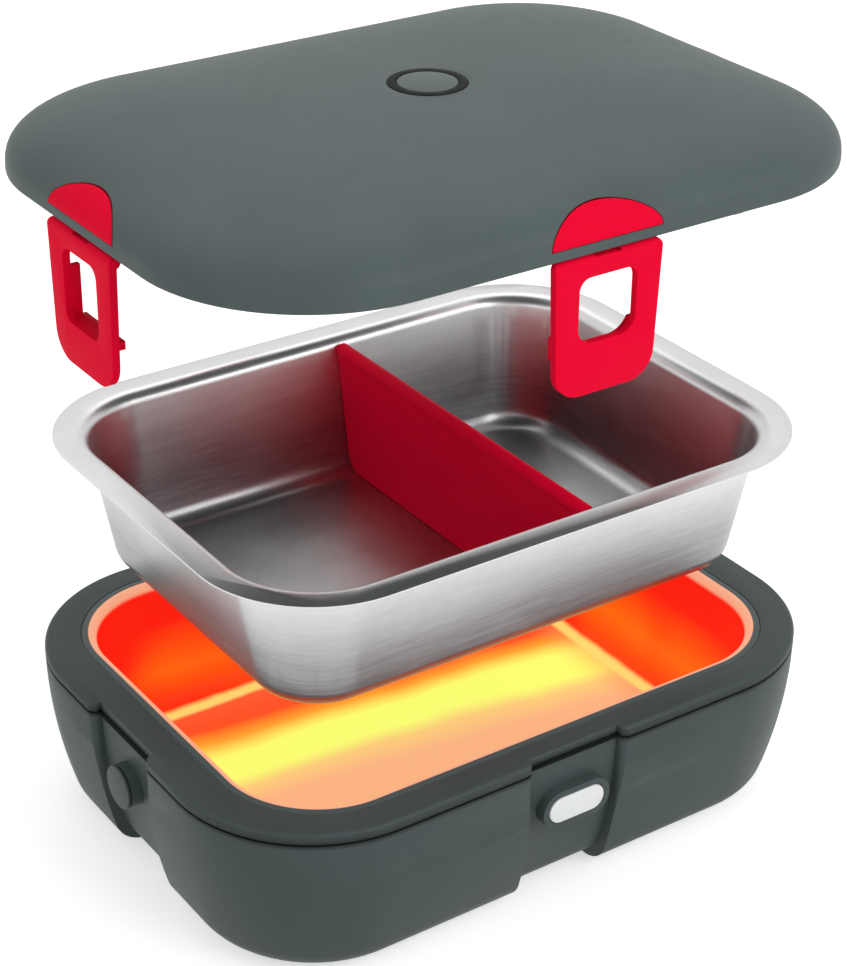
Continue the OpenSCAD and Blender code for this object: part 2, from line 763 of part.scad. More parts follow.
module lid_gasket() {
    h = liner_z - (flange_z + gasket_gap - lid_z);
    color("#d9dcdc") translate([0, 0, lid_rest + flange_z + gasket_gap]) difference() {
        round_rect(tray_l - 2 * gasket_in, tray_w - 2 * gasket_in, tray_r - gasket_in, h);
        translate([0, 0, -1]) round_rect(tray_l - 2 * gasket_in - 2 * gasket_w,
            tray_w - 2 * gasket_in - 2 * gasket_w, tray_r - gasket_in - gasket_w, h + 2);
    }
}
module vent_ring() {
    color(BLACK) translate([0, 0, lid_rest + vent_top_z - vent_ring_h]) difference() {
        cylinder(r = vent_r + vent_ring_w - 0.1, h = vent_ring_h + vent_proud);
        translate([0, 0, -1]) cylinder(r = vent_r + vent_gap, h = 5);
    }
}
module vent_button() {
    low = lid_z + liner_z - liner_over;
    color("#6f7573") translate([0, 0, lid_rest]) {
        translate([0, 0, vent_top_z - vent_disc_t]) cylinder(r = vent_r, h = vent_disc_t + vent_proud);
        translate([0, 0, low]) cylinder(r = vent_stem_r, h = vent_top_z - vent_disc_t - low + 0.1);
    }
}
module vent_valve() {
    color(BLACK) translate([0, 0, lid_rest + lid_z + liner_z - liner_over - vent_valve_t])
        cylinder(r = vent_head_r, h = vent_valve_t);
}
module inlay(k) {
    color(CRIMSON) translate([0, 0, lid_rest]) intersection() {
        difference() {
            lid_form(-inlay_proud, 0, SIDE_T, 8);
            lid_form(inlay_t, 1, SIDE_T, 8);
        }
        inlay_plan(k, 0);
    }
}
module inlay_front() { inlay(0); }
module inlay_right() { inlay(1); }
module inlay_back() { inlay(2); }
module inlay_left() { inlay(3); }
module latch_pins() {
    color(STEEL) translate([0, 0, lid_rest]) for (k = [0:3]) on_side(k)
        translate([-pin_l / 2, pin_y, pin_z]) rotate([0, 90, 0]) cylinder(r = pin_r, h = pin_l);
}

// Latch, hanging from its pin in front of its recess
module latch_outline() {
    hull() {
        for (s = [-1, 1]) {
            translate([s * (latch_w / 2 - latch_top_round), pin_z + knuckle_r - latch_top_round])
                circle(latch_top_round, $fn = 24);
            translate([s * (latch_end_w / 2 - latch_corner), lid_z - latch_len + latch_corner])
                circle(latch_corner, $fn = 32);
        }
    }
}
// Window outline with its lower side at z0: upper corners of radius window_round, lower ones of radius low
module window_outline(z0, low, grow) {
    top = lid_z - window_drop + window_h;
    x = window_w / 2 + grow;
    translate([-x, z0 + low - grow]) square([2 * x, top - z0 - low - window_round + 2 * grow]);
    translate([low - x, z0 - grow]) square([2 * (x - low), top - z0 - low + grow]);
    translate([window_round - x, top - window_round]) square([2 * (x - window_round), window_round + grow]);
    for (s = [-1, 1]) {
        translate([s * (x - low), z0 + low - grow]) circle(low);
        translate([s * (x - window_round), top - window_round + grow]) circle(window_round);
    }
}
// Carries a front view, drawn in X and Z, through the latch from depth y0 to depth y1
module latch_depth(y0, y1) {
    translate([0, y1, 0]) rotate([90, 0, 0]) linear_extrude(y1 - y0) children();
}
// Shelf with a cradle that follows the lower half of a long catch
module long_shelf() {
    r = catch_h / 2 + hook_gap;
    x = (catch_l - catch_h) / 2;
    latch_depth(latch_back_y - 0.4, recess_floor(shelf_z) - shelf_back_gap) difference() {
        translate([-x - r - collar_t, shelf_z - shelf_t])
            square([2 * (x + r + collar_t), shelf_t + cradle_h]);
        translate([-x, shelf_z]) square([2 * x, cradle_h + 1]);
        for (s = [-1, 1]) translate([s * x, shelf_z + r]) circle(r);
    }
}
// Shelf that goes on as a collar up both sides of the window, clear of a round catch
module round_shelf() {
    latch_depth(latch_back_y - 0.4, recess_floor(shelf_z) - shelf_back_gap)
        translate([-window_w / 2 - collar_t, shelf_z - shelf_t]) square([window_w + 2 * collar_t, shelf_t]);
    latch_depth(latch_back_y - 0.4, recess_d - shelf_back_gap) for (s = [-1, 1])
        translate([s * (window_w + collar_t) / 2 - collar_t / 2, shelf_z - shelf_t])
            square([collar_t, shelf_t + window_h - window_round]);
}
module latch(k, on_round_catch) {
    color(CRIMSON) translate([0, 0, lid_rest]) on_side(k) difference() {
        union() {
            intersection() {
                translate([-latch_w, 0, 0]) rotate([90, 0, 90]) linear_extrude(2 * latch_w)
                    intersection() {
                        union() {
                            translate([latch_front_y, lid_z - latch_len - 1])
                                square([latch_t, latch_len - pin_drop + 1]);
                            translate([pin_y, pin_z]) circle(knuckle_r);
                        }
                        translate([latch_front_y - 1, lid_z - latch_len - 2]) square([latch_t + 1, latch_len + 2]);
                    }
                latch_depth(latch_front_y - 1, latch_front_y + latch_w) latch_outline();
            }
            // Rear of the knuckle, narrow enough for the recess
            translate([-knuckle_w / 2, pin_y, pin_z]) rotate([0, 90, 0]) cylinder(r = knuckle_r, h = knuckle_w);
            if (on_round_catch) round_shelf();
            else long_shelf();
        }
        latch_depth(latch_front_y - 1, latch_back_y + 1) if (on_round_catch)
            window_outline(shelf_z, window_round, 0);
        else
            window_outline(lid_z - window_drop, window_low_round, 0);
        // Slot that the hinge lug passes through as the latch swings
        translate([-lug_w / 2 - lug_gap, pin_y, pin_z]) rotate([90, 0, 90]) linear_extrude(lug_w + 2 * lug_gap) {
            circle(slot_half);
            for (a = [0:LATCH_SWING / 2:LATCH_SWING]) rotate(a)
                translate([0, -slot_half]) square([3 * knuckle_r, 2 * slot_half]);
        }
        translate([-bore_l / 2, pin_y, pin_z]) rotate([0, 90, 0]) cylinder(r = pin_r + pin_clear, h = bore_l);
    }
}
module latch_front() { latch(0, false); }
module latch_right() { latch(1, true); }
module latch_back() { latch(2, false); }
module latch_left() { latch(3, true); }

base_shell();
base_rim();
bottom_cover();
cover_screws();
feet();
heating_pan();
floor_heater();
wall_heater();
insulation_pad();
thermostat();
thermal_fuse();
control_board();
board_screws();
power_switch();
status_led();
power_button();
inlet_socket();
inlet_pin();
inlet_cap();
tray();
divider();
lid_shell();
lid_liner();
lid_gasket();
vent_ring();
vent_button();
vent_valve();
inlay_front();
inlay_back();
inlay_left();
inlay_right();
latch_pins();
latch_front();
latch_back();
latch_left();
latch_right();
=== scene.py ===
import math

import bmesh
import bpy
from bpy.props import FloatProperty, FloatVectorProperty, IntProperty, PointerProperty
from mathutils import Matrix, Vector


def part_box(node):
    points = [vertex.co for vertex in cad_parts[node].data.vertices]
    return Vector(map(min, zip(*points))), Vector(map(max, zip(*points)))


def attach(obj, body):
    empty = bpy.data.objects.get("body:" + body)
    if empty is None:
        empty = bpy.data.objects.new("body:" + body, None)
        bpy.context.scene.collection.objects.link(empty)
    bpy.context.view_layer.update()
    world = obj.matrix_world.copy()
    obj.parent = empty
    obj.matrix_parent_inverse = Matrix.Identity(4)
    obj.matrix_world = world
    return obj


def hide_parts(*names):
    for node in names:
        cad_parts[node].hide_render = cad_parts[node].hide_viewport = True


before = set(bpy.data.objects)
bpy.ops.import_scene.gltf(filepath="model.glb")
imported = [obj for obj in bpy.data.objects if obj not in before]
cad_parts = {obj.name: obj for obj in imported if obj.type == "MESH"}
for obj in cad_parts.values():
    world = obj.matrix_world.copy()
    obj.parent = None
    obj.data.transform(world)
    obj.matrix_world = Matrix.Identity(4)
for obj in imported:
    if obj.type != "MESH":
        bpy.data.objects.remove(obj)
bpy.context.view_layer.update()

bl_info = {
    "name": "Electric lunch box",
    "version": (1, 0, 0),
    "blender": (4, 5, 0),
    "location": "View3D > Sidebar > Lunch box",
    "description": "Dresses the packed lunch box: moulded base and lid, steel tray, heated pan and latches",
    "category": "Object",
}

MM = 0.001
SIDES = ("front", "right", "back", "left")
QUARTERS = ((1, 1), (-1, 1), (-1, -1), (1, -1))
CORNER_STEPS = 20
SMOOTH_ANGLE = math.radians(35)
WELD_DISTANCE = 0.002 * MM
FLAT_ANGLE = math.radians(0.5)

# Colours of small pieces, which the settings don't list
RUBBER_BLACK = (0.012, 0.014, 0.014)
PLASTIC_BLACK = (0.014, 0.015, 0.016)
SEAL_GREY = (0.62, 0.64, 0.64)
LENS_SHADE = (0.9, 0.93, 0.93)
LENS_WHITE = (0.97, 0.98, 0.98)
LAMP_LENS = (0.8, 0.8, 0.74)
PIN_STEEL = (0.6, 0.6, 0.6)
SMALL_STEEL = (0.62, 0.62, 0.62)
STEEL_SMEAR = (0.9, 0.9, 0.9)
BRASS = (0.75, 0.52, 0.2)
FOIL_AMBER = (0.6, 0.35, 0.1)
FOIL_TRACK = (0.42, 0.4, 0.38)
FELT_CREAM = (0.7, 0.68, 0.62)
BOARD_GREEN = (0.02, 0.17, 0.07)

# Painted shade in the joint where the base's rim meets the shell and on the rim's wall above it: depth
# below the rim's top, then heights from its middle
GROOVE_DROP = 4.2 * MM
GROOVE_SHADE_LINE = (0.5 * MM, 2.4 * MM)
GROOVE_SHADE_FOOT = (-1.0 * MM, 0.4 * MM)
GROOVE_SHADE_TOP = (2.6 * MM, 3.8 * MM)

# Pitch of the printed patterns inside the base
FOIL_PITCH = 5 * MM
BOARD_PITCH_X = 3 * MM
BOARD_PITCH_Z = 7 * MM


# ---------------------------------------------------------------- materials


class Amount:
    """A value that varies over a surface. Sums and products of it add Math nodes to its finish."""

    def __init__(self, finish, socket):
        self.finish = finish
        self.socket = socket

    def maths(self, operation, *operands):
        return self.finish.node("ShaderNodeMath", {"operation": operation}, dict(enumerate(operands)))

    def __add__(self, other):
        return self.maths("ADD", self, other)

    def __radd__(self, other):
        return self.maths("ADD", other, self)

    def __sub__(self, other):
        return self.maths("SUBTRACT", self, other)

    def __rsub__(self, other):
        return self.maths("SUBTRACT", other, self)

    def __mul__(self, other):
        return self.maths("MULTIPLY", self, other)

    def __rmul__(self, other):
        return self.maths("MULTIPLY", other, self)

    def __truediv__(self, other):
        return self.maths("DIVIDE", self, other)

    def __rtruediv__(self, other):
        return self.maths("DIVIDE", other, self)

    def __pow__(self, other):
        return self.maths("POWER", self, other)

    def __abs__(self):
        return self.maths("ABSOLUTE", self)

    def sine(self):
        return self.maths("SINE", self)

    def least(self, other):
        return self.maths("MINIMUM", self, other)

    def most(self, other):
        return self.maths("MAXIMUM", self, other)

    def step(self, low, high):
        """0 below low, 1 above high, smooth between them."""
        settings = {"interpolation_type": "SMOOTHSTEP", "clamp": True}
        sockets = {"Value": self, "From Min": low, "From Max": high, "To Min": 0.0, "To Max": 1.0}
        return self.finish.node("ShaderNodeMapRange", settings, sockets)


class Finish:
    """One material: a Principled shader and the nodes that vary it."""

    def __init__(self, name, **constants):
        self.material = bpy.data.materials.new(name)
        self.material.use_nodes = True
        self.tree = self.material.node_tree
        self.shader = self.tree.nodes["Principled BSDF"]
        for socket, value in constants.items():
            self.shader.inputs[socket.replace("_", " ")].default_value = value

    def node(self, kind, settings=None, sockets=None, output=0):
        made = self.tree.nodes.new(kind)
        for name, value in (settings or {}).items():
            if name == "stops":
                self.set_stops(made.color_ramp, value)
            else:
                setattr(made, name, value)
        for name, value in (sockets or {}).items():
            self.feed(made.inputs[name], value)
        return Amount(self, made.outputs[output])

    @staticmethod
    def set_stops(ramp, stops):
        while len(ramp.elements) < len(stops):
            ramp.elements.new(1.0)
        for element, (place, colour) in zip(ramp.elements, stops):
            element.position = place
            element.color = (*colour, 1.0)

    def feed(self, socket, value):
        if isinstance(value, Amount):
            self.tree.links.new(value.socket, socket)
        elif socket.type == "RGBA":
            socket.default_value = (*tuple(value)[:3], 1.0)
        else:
            socket.default_value = value

    def set(self, **values):
        for socket, value in values.items():
            self.feed(self.shader.inputs[socket.replace("_", " ")], value)

    def place(self):
        """Where a point lies in the box's frame, in metres."""
        return self.node("ShaderNodeTexCoord", output=3)

    def axes(self, place):
        split = self.node("ShaderNodeSeparateXYZ", None, {0: place})
        outputs = split.socket.node.outputs
        return [Amount(self, outputs[i]) for i in range(3)]

    def stretch(self, place, x, y, z):
        return self.node("ShaderNodeVectorMath", {"operation": "MULTIPLY"}, {0: place, 1: (x, y, z)})

    def noise(self, place, size, detail=2.0, roughness=0.5):
        """Noise from 0 to 1 with blotches about size metres across."""
        sockets = {"Vector": place, "Scale": 1 / size, "Detail": detail, "Roughness": roughness}
        return self.node("ShaderNodeTexNoise", None, sockets)

    def mix(self, amount, first, second):
        """The first colour where amount is 0, and the second where it is 1."""
        return self.node("ShaderNodeMix", {"data_type": "RGBA"}, {0: amount, 6: first, 7: second}, output=2)

    def ramp(self, amount, *stops):
        """Colours that follow each other at the places given, from 0 to 1."""
        return self.node("ShaderNodeValToRGB", {"stops": stops}, {0: amount})

    def inside_outline(self, x, y, half_l, half_w, radius):
        """How far a point lies inside a rounded rectangle, in metres."""
        over_x = abs(x) - (half_l - radius)
        over_y = abs(y) - (half_w - radius)
        corner = (over_x.most(0.0) ** 2 + over_y.most(0.0) ** 2) ** 0.5
        return radius - corner - over_x.most(over_y).least(0.0)

    def bump(self, height, strength, distance):
        sockets = {"Height": height, "Strength": strength, "Distance": distance}
        return self.node("ShaderNodeBump", None, sockets)


def tinted(colour, factor):
    return tuple(min(1.0, c * factor) for c in colour[:3])


def moulded_plastic(name, colour, roughness, grain=0.35 * MM, seam_z=None):
    """Soft-touch plastic: fine grain, faint clouding, handling marks, and painted shade in a joint at
    seam_z and on the wall above it.
    """
    finish = Finish(name, IOR=1.46, Specular_IOR_Level=0.22)
    place = finish.place()
    clouds = finish.noise(place, 45 * MM, 3.0)
    marks = finish.noise(finish.stretch(place, 1.0, 1.0, 0.25), 9 * MM, 4.0, 0.65)
    speckle = finish.noise(place, grain, 1.0)
    clouded = finish.mix(clouds.step(0.3, 0.7), tinted(colour, 0.93), tinted(colour, 1.06))
    skin_colour = finish.mix(speckle.step(0.35, 0.75) * 0.12, clouded, tinted(colour, 1.35))
    if seam_z is not None:
        # Painted shade: the rim's wall above the joint is darkened, and the joint itself darker still.
        rise = finish.axes(place)[2] - seam_z
        rim_wall_shade = rise.step(*GROOVE_SHADE_FOOT) * (1 - rise.step(*GROOVE_SHADE_TOP))
        painted_joint_shading = 1 - abs(rise).step(*GROOVE_SHADE_LINE)
        skin_colour = finish.mix(rim_wall_shade * 0.45, skin_colour, tinted(colour, 0.3))
        skin_colour = finish.mix(painted_joint_shading * 0.8, skin_colour, tinted(colour, 0.12))
    finish.set(Base_Color=skin_colour)
    finish.set(Roughness=roughness - 0.05 + clouds * 0.06 + marks.step(0.5, 0.75) * 0.05)
    finish.set(Normal=finish.bump(speckle, 0.12, 0.03 * MM))
    return finish.material


def silicone(name, colour, roughness=0.5, grain=0.6 * MM):
    """Matt silicone: a faint bloom in broad patches, and fine paler pores."""
    finish = Finish(name, IOR=1.4, Specular_IOR_Level=0.06)
    place = finish.place()
    bloom = finish.noise(place, 22 * MM, 3.0)
    pores = finish.noise(place, grain, 2.0)
    base = finish.mix(bloom.step(0.35, 0.7) * 0.5, tinted(colour, 0.95), tinted(colour, 1.03))
    finish.set(Base_Color=finish.mix(pores.step(0.6, 0.8) * 0.1, base, tinted(colour, 1.25)))
    finish.set(Roughness=roughness + bloom * 0.1)
    finish.set(Normal=finish.bump(pores, 0.08, 0.04 * MM))
    return finish.material


def brushed_steel(name, colour, roughness, along, low_z, high_z):
    """Drawn stainless sheet: long brush lines, faint smears, and painted shade that darkens the wall below
    a bright flange, with a thin painted highlight at its foot.
    """
    finish = Finish(name, Metallic=1.0)
    place = finish.place()
    lines = finish.noise(finish.stretch(place, *along), 1.1 * MM, 3.0, 0.7)
    fine = finish.noise(finish.stretch(place, *along), 0.3 * MM, 2.0)
    smears = finish.noise(place, 35 * MM, 3.0)
    height = (finish.axes(place)[2] - low_z) / (high_z - low_z)
    # Painted shade and highlight: the wall darkens from the flange downwards, with a bright line at its
    # foot.
    wall = finish.ramp(
        height,
        (0.0, (0.5, 0.5, 0.5)), (0.06, (0.26, 0.26, 0.27)), (0.35, (0.3, 0.3, 0.31)),
        (0.8, (0.62, 0.62, 0.62)), (0.95, tuple(colour)), (1.0, tuple(colour)))
    streaked = finish.mix(lines.step(0.3, 0.7) * 0.14, wall, STEEL_SMEAR)
    finish.set(Base_Color=finish.mix(smears.step(0.45, 0.8) * 0.1, streaked, STEEL_SMEAR))
    finish.set(Roughness=roughness - 0.06 + lines * 0.08 + smears * 0.08)
    finish.set(Normal=finish.bump(lines * 0.6 + fine * 0.4, 0.06, 0.03 * MM))
    return finish.material


def plain_metal(name, colour, roughness=0.3):
    """Small turned or stamped metal pieces: faint turning lines and dull patches."""
    finish = Finish(name, Metallic=1.0)
    place = finish.place()
    dull = finish.noise(place, 3 * MM, 3.0)
    lines = finish.noise(finish.stretch(place, 1.0, 1.0, 6.0), 0.5 * MM, 2.0)
    finish.set(Base_Color=finish.mix(dull.step(0.4, 0.7), tinted(colour, 0.88), tinted(colour, 1.05)))
    finish.set(Roughness=roughness + dull * 0.15)
    finish.set(Normal=finish.bump(lines, 0.06, 0.02 * MM))
    return finish.material


def felt(name, colour):
    """Pressed ceramic fibre: tangled strands and darker pits."""
    finish = Finish(name, Roughness=0.95, Specular_IOR_Level=0.2)
    place = finish.place()
    strands = finish.noise(finish.stretch(place, 1.0, 3.0, 1.0), 0.9 * MM, 4.0, 0.7)
    finish.set(Base_Color=finish.mix(strands.step(0.3, 0.7), tinted(colour, 0.7), tinted(colour, 1.1)))
    finish.set(Normal=finish.bump(strands, 0.6, 0.3 * MM))
    return finish.material


def etched_foil(name, colour):
    """Heater foil: slanting tracks of metal on an amber film."""
    finish = Finish(name, Roughness=0.4)
    x, y, z = finish.axes(finish.place())
    track = ((x + y + z) * (math.tau / FOIL_PITCH)).sine().step(-0.1, 0.15)
    finish.set(Base_Color=finish.mix(track, tinted(colour, 0.6), FOIL_TRACK))
    finish.set(Metallic=track * 0.8)
    finish.set(Normal=finish.bump(track, 0.3, 0.05 * MM))
    return finish.material


def solder_mask(name, colour):
    """Printed board: green mask with paler patches over the copper."""
    finish = Finish(name, Roughness=0.35, Coat_Weight=0.3)
    x, _, z = finish.axes(finish.place())
    across = (x * (math.tau / BOARD_PITCH_X)).sine()
    along = (z * (math.tau / BOARD_PITCH_Z)).sine()
    copper = (across * along).step(0.5, 0.6)
    finish.set(Base_Color=finish.mix(copper, tuple(colour[:3]), tinted(colour, 1.7)))
    finish.set(Normal=finish.bump(copper, 0.2, 0.03 * MM))
    return finish.material


def button_lens(name):
    """Smooth white lens with a faint haze."""
    finish = Finish(name, IOR=1.49, Subsurface_Weight=0.2, Subsurface_Scale=2 * MM,
                    Coat_Weight=0.3, Coat_Roughness=0.15)
    haze = finish.noise(finish.place(), 6 * MM, 2.0)
    finish.set(Base_Color=finish.mix(haze, LENS_SHADE, LENS_WHITE))
    finish.set(Roughness=0.22 + haze * 0.08)
    return finish.material


# ---------------------------------------------------------------- shapes


def crisply_smooth(mesh):
    """Smooth shading that keeps sharp edges crisp."""
    mesh.shade_smooth()
    mesh.set_sharp_from_angle(angle=SMOOTH_ANGLE)


def new_object(name, mesh, material):
    mesh.materials.clear()
    mesh.materials.append(material)
    made = bpy.data.objects.new(name, mesh)
    bpy.context.scene.collection.objects.link(made)
    crisply_smooth(mesh)
    return made


def applied(made, kind, **settings):
    """Runs one modifier on a piece and keeps its result."""
    modifier = made.modifiers.new(kind.title(), kind)
    for name, value in settings.items():
        setattr(modifier, name, value)
    evaluated = made.evaluated_get(bpy.context.evaluated_depsgraph_get())
    result = bpy.data.meshes.new_from_object(evaluated)
    made.modifiers.clear()
    made.data = result
    return made


def dressed(made, body, slot, *nodes):
    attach(made, body)
    if nodes:
        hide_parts(*nodes)
    return made


def plain_copy(name, node, material):
    """A copy of a CAD node as one joined surface."""
    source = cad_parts[node].data
    mesh = bpy.data.meshes.new(name)
    mesh.from_pydata([v.co for v in source.vertices], [], [p.vertices for p in source.polygons])
    work = bmesh.new()
    work.from_mesh(mesh)
    bmesh.ops.remove_doubles(work, verts=work.verts, dist=WELD_DISTANCE)
    bmesh.ops.dissolve_limit(
        work, angle_limit=FLAT_ANGLE, use_dissolve_boundaries=False, verts=work.verts, edges=work.edges)
    bmesh.ops.recalc_face_normals(work, faces=work.faces)
    work.to_mesh(mesh)
    work.free()
    return new_object(name, mesh, material)


def softened(name, node, material, width, segments=3, angle=40.0):
    """A copy of a CAD node whose sharp edges are rounded by width metres."""
    made = plain_copy(name, node, material)
    applied(made, "BEVEL", width=width, segments=segments, limit_method="ANGLE",
            angle_limit=math.radians(angle), harden_normals=False, use_clamp_overlap=True,
            miter_outer="MITER_ARC")
    crisply_smooth(made.data)
    return made


def stand_in(name, node, body, slot, material, width, **how):
    """A softened copy of a CAD node that rides on a body and is shown in place of the node."""
    return dressed(softened(name, node, material, width, **how), body, slot, node)


def carried_over(node, material):
    """Gives a CAD node its finish."""
    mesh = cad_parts[node].data
    mesh.materials.clear()
    mesh.materials.append(material)


def rounded_outline(half_l, half_w, radius):
    """Points round a rounded rectangle, anticlockwise from the start of its first corner."""
    corners = []
    for quarter, (sx, sy) in enumerate(QUARTERS):
        turns = [math.radians(90 * (quarter + i / CORNER_STEPS)) for i in range(CORNER_STEPS + 1)]
        corners.append([
            (sx * (half_l - radius) + radius * math.cos(a), sy * (half_w - radius) + radius * math.sin(a))
            for a in turns])
    outline = []
    for corner, following in zip(corners, corners[1:] + corners[:1]):
        start, end = Vector(corner[-1]), Vector(following[0])
        outline += corner
        outline += [tuple(start.lerp(end, k / CORNER_STEPS)) for k in range(1, CORNER_STEPS)]
    return outline


def round_ring(radius, z):
    """A circle with one point for each point of a rounded outline, in the same order."""
    count = 8 * CORNER_STEPS
    turns = [math.tau * (k + CORNER_STEPS / 2) / count for k in range(count)]
    return [(radius * math.cos(a), radius * math.sin(a), z) for a in turns]


def skin(name, rings, material, ends=True):
    """A surface through rings of equally many points, closed by end faces or by joining last to first."""
    work = bmesh.new()
    rows = [[work.verts.new(p) for p in ring] for ring in rings]
    count = len(rows[0])
    following = rows[1:] if ends else rows[1:] + rows[:1]
    for low, high in zip(rows, following):
        for i in range(count):
            j = (i + 1) % count
            work.faces.new((low[i], low[j], high[j], high[i]))
    if ends:
        work.faces.new(list(reversed(rows[0])))
        work.faces.new(rows[-1])
    bmesh.ops.recalc_face_normals(work, faces=work.faces)
    mesh = bpy.data.meshes.new(name)
    work.to_mesh(mesh)
    work.free()
    return new_object(name, mesh, material)


def on_side(k, half, x, y, z):
    """A point given in the frame of side k, whose y runs inwards from that side at the distance half."""
    turn = Matrix.Rotation(math.radians(90 * k), 3, "Z")
    return turn @ Vector((x, y - half, z))


# ---------------------------------------------------------------- settings


class LunchBoxColours(bpy.types.PropertyGroup):
    base: FloatVectorProperty(
        name="Base", description="Soft-touch plastic of the base", subtype="COLOR",
        default=(0.062, 0.082, 0.081), min=0.0, max=1.0)
    lid: FloatVectorProperty(
        name="Lid", description="Soft-touch plastic of the lid", subtype="COLOR",
        default=(0.088, 0.117, 0.116), min=0.0, max=1.0)
    latch: FloatVectorProperty(
        name="Latches", description="Latches, their inlays and the divider", subtype="COLOR",
        default=(1.0, 0.001, 0.036), min=0.0, max=1.0)
    steel: FloatVectorProperty(
        name="Tray", description="Steel of the tray", subtype="COLOR",
        default=(0.66, 0.66, 0.66), min=0.0, max=1.0)
    pan_wall: FloatVectorProperty(
        name="Pan wall", description="Glowing wall of the heating pan", subtype="COLOR",
        default=(0.82, 0.01, 0.0035), min=0.0, max=1.0)
    pan_floor: FloatVectorProperty(
        name="Pan floor", description="Hottest part of the pan's floor", subtype="COLOR",
        default=(0.8, 1.0, 0.17), min=0.0, max=1.0)
    pan_lip: FloatVectorProperty(
        name="Pan lip", description="Lip of the pan and the edge of its floor", subtype="COLOR",
        default=(0.82, 0.38, 0.23), min=0.0, max=1.0)
    floor: FloatVectorProperty(
        name="Floor", description="Studio floor", subtype="COLOR",
        default=(0.9, 0.9, 0.9), min=0.0, max=1.0)


class LunchBoxSizes(bpy.types.PropertyGroup):
    lid_rise: FloatProperty(
        name="Lid rise", description="Height of the lid's crown over its edge", unit="LENGTH",
        default=26 * MM)
    lid_wall: FloatProperty(
        name="Lid wall", description="Wall of the lid", unit="LENGTH", default=2.4 * MM)
    lid_corner: FloatProperty(
        name="Lid corner", description="Corner radius of the lid in plan", unit="LENGTH", default=61.5 * MM)
    edge: FloatProperty(
        name="Moulded edge", description="Rounding of moulded edges", unit="LENGTH", default=0.5 * MM)
    dome_rings: IntProperty(
        name="Dome rings", description="Rings of faces from the lid's edge to its crown",
        default=44, min=12)


class LunchBoxStudio(bpy.types.PropertyGroup):
    distance: FloatProperty(
        name="Camera distance", description="From the camera to the point it looks at", unit="LENGTH",
        default=893.4 * MM)
    azimuth: FloatProperty(
        name="Azimuth", description="Camera's turn round the box from the front", default=-34.59)
    elevation: FloatProperty(
        name="Elevation", description="Camera's height as an angle", default=28.68)
    lens: FloatProperty(
        name="Lens", description="Focal length in millimetres on a 36 mm wide sensor", default=100.9)
    roll: FloatProperty(
        name="Roll", description="Turn of the camera about its own axis in degrees", default=0.58)
    key_power: FloatProperty(
        name="Key lamp", description="Power of the key lamp in watts", default=7.5, min=0.0)
    fill_power: FloatProperty(
        name="Fill lamp", description="Power of the fill lamp in watts", default=2.1, min=0.0)
    top_power: FloatProperty(
        name="Top lamp", description="Power of the lamp over the box in watts", default=4.0, min=0.0)


# ---------------------------------------------------------------- lid


# Side view of the dome: both powers shape a quarter turn, from upright at the edge to level at the reach
DOME_REACH = 100 * MM
DOME_EDGE = 1.066
DOME_RISE = 0.65
# Corners of the dome in plan: what is left at the reach, and how much faster they tighten near the edge
DOME_TIP = 2 * MM
DOME_PULL = 23 * MM
DOME_LEAST_RADIUS = 0.6 * MM
# Rings of the dome stop here and run into a circle round the vent
DOME_DEEPEST = 78 * MM
RING_CROWDING = 1.5
HALVINGS = 40

LID_EDGE_ROUND = 0.6 * MM
LID_EDGE_DEGREES = (0, 22, 45, 67)
CROWN_RINGS = 10
UNDER_CROWN_RINGS = 6

# Well of the vent. Each ring of its mouth lies outside the seat and below the crown
WELL_START = 0.25 * MM
WELL_MOUTH = ((0.05 * MM, 0.08 * MM), (0.0, 0.3 * MM))
VENT_SEAT_GAP = 0.1 * MM
VENT_BORE_GAP = 0.3 * MM
VENT_BORE_DEPTH = 3.4 * MM
VENT_STEM_R = 2.8 * MM
VENT_BOSS_WALL = 1.7 * MM
VENT_BOSS_UNDER = 8 * MM

# Lugs that hold the hinge pins
HINGE_INSET = 1.2 * MM
PIN_R = 0.8 * MM
LUG_R = 1.7 * MM
LUG_STEPS = 12
LUG_HALF = 5 * MM
LUG_FRONT = 0.6 * MM
LUG_BACK = 3.5 * MM
LUG_RISE = 4 * MM
LUG_EDGE = 0.25 * MM

# Posts between the liner and the dome, with a chamfered foot and a flared head
POST_INSET = 40 * MM
POST_FOOT_R = 2.7 * MM
POST_LOW_R = 3.0 * MM
POST_HIGH_R = 3.1 * MM
POST_HEAD_R = 4.2 * MM
POST_CHAMFER = 0.3 * MM
POST_FLARE = 2 * MM
POST_SUNK = 1 * MM

VENT_COLLAR_EDGE = 0.15 * MM
VENT_DISC_EDGE = 0.3 * MM


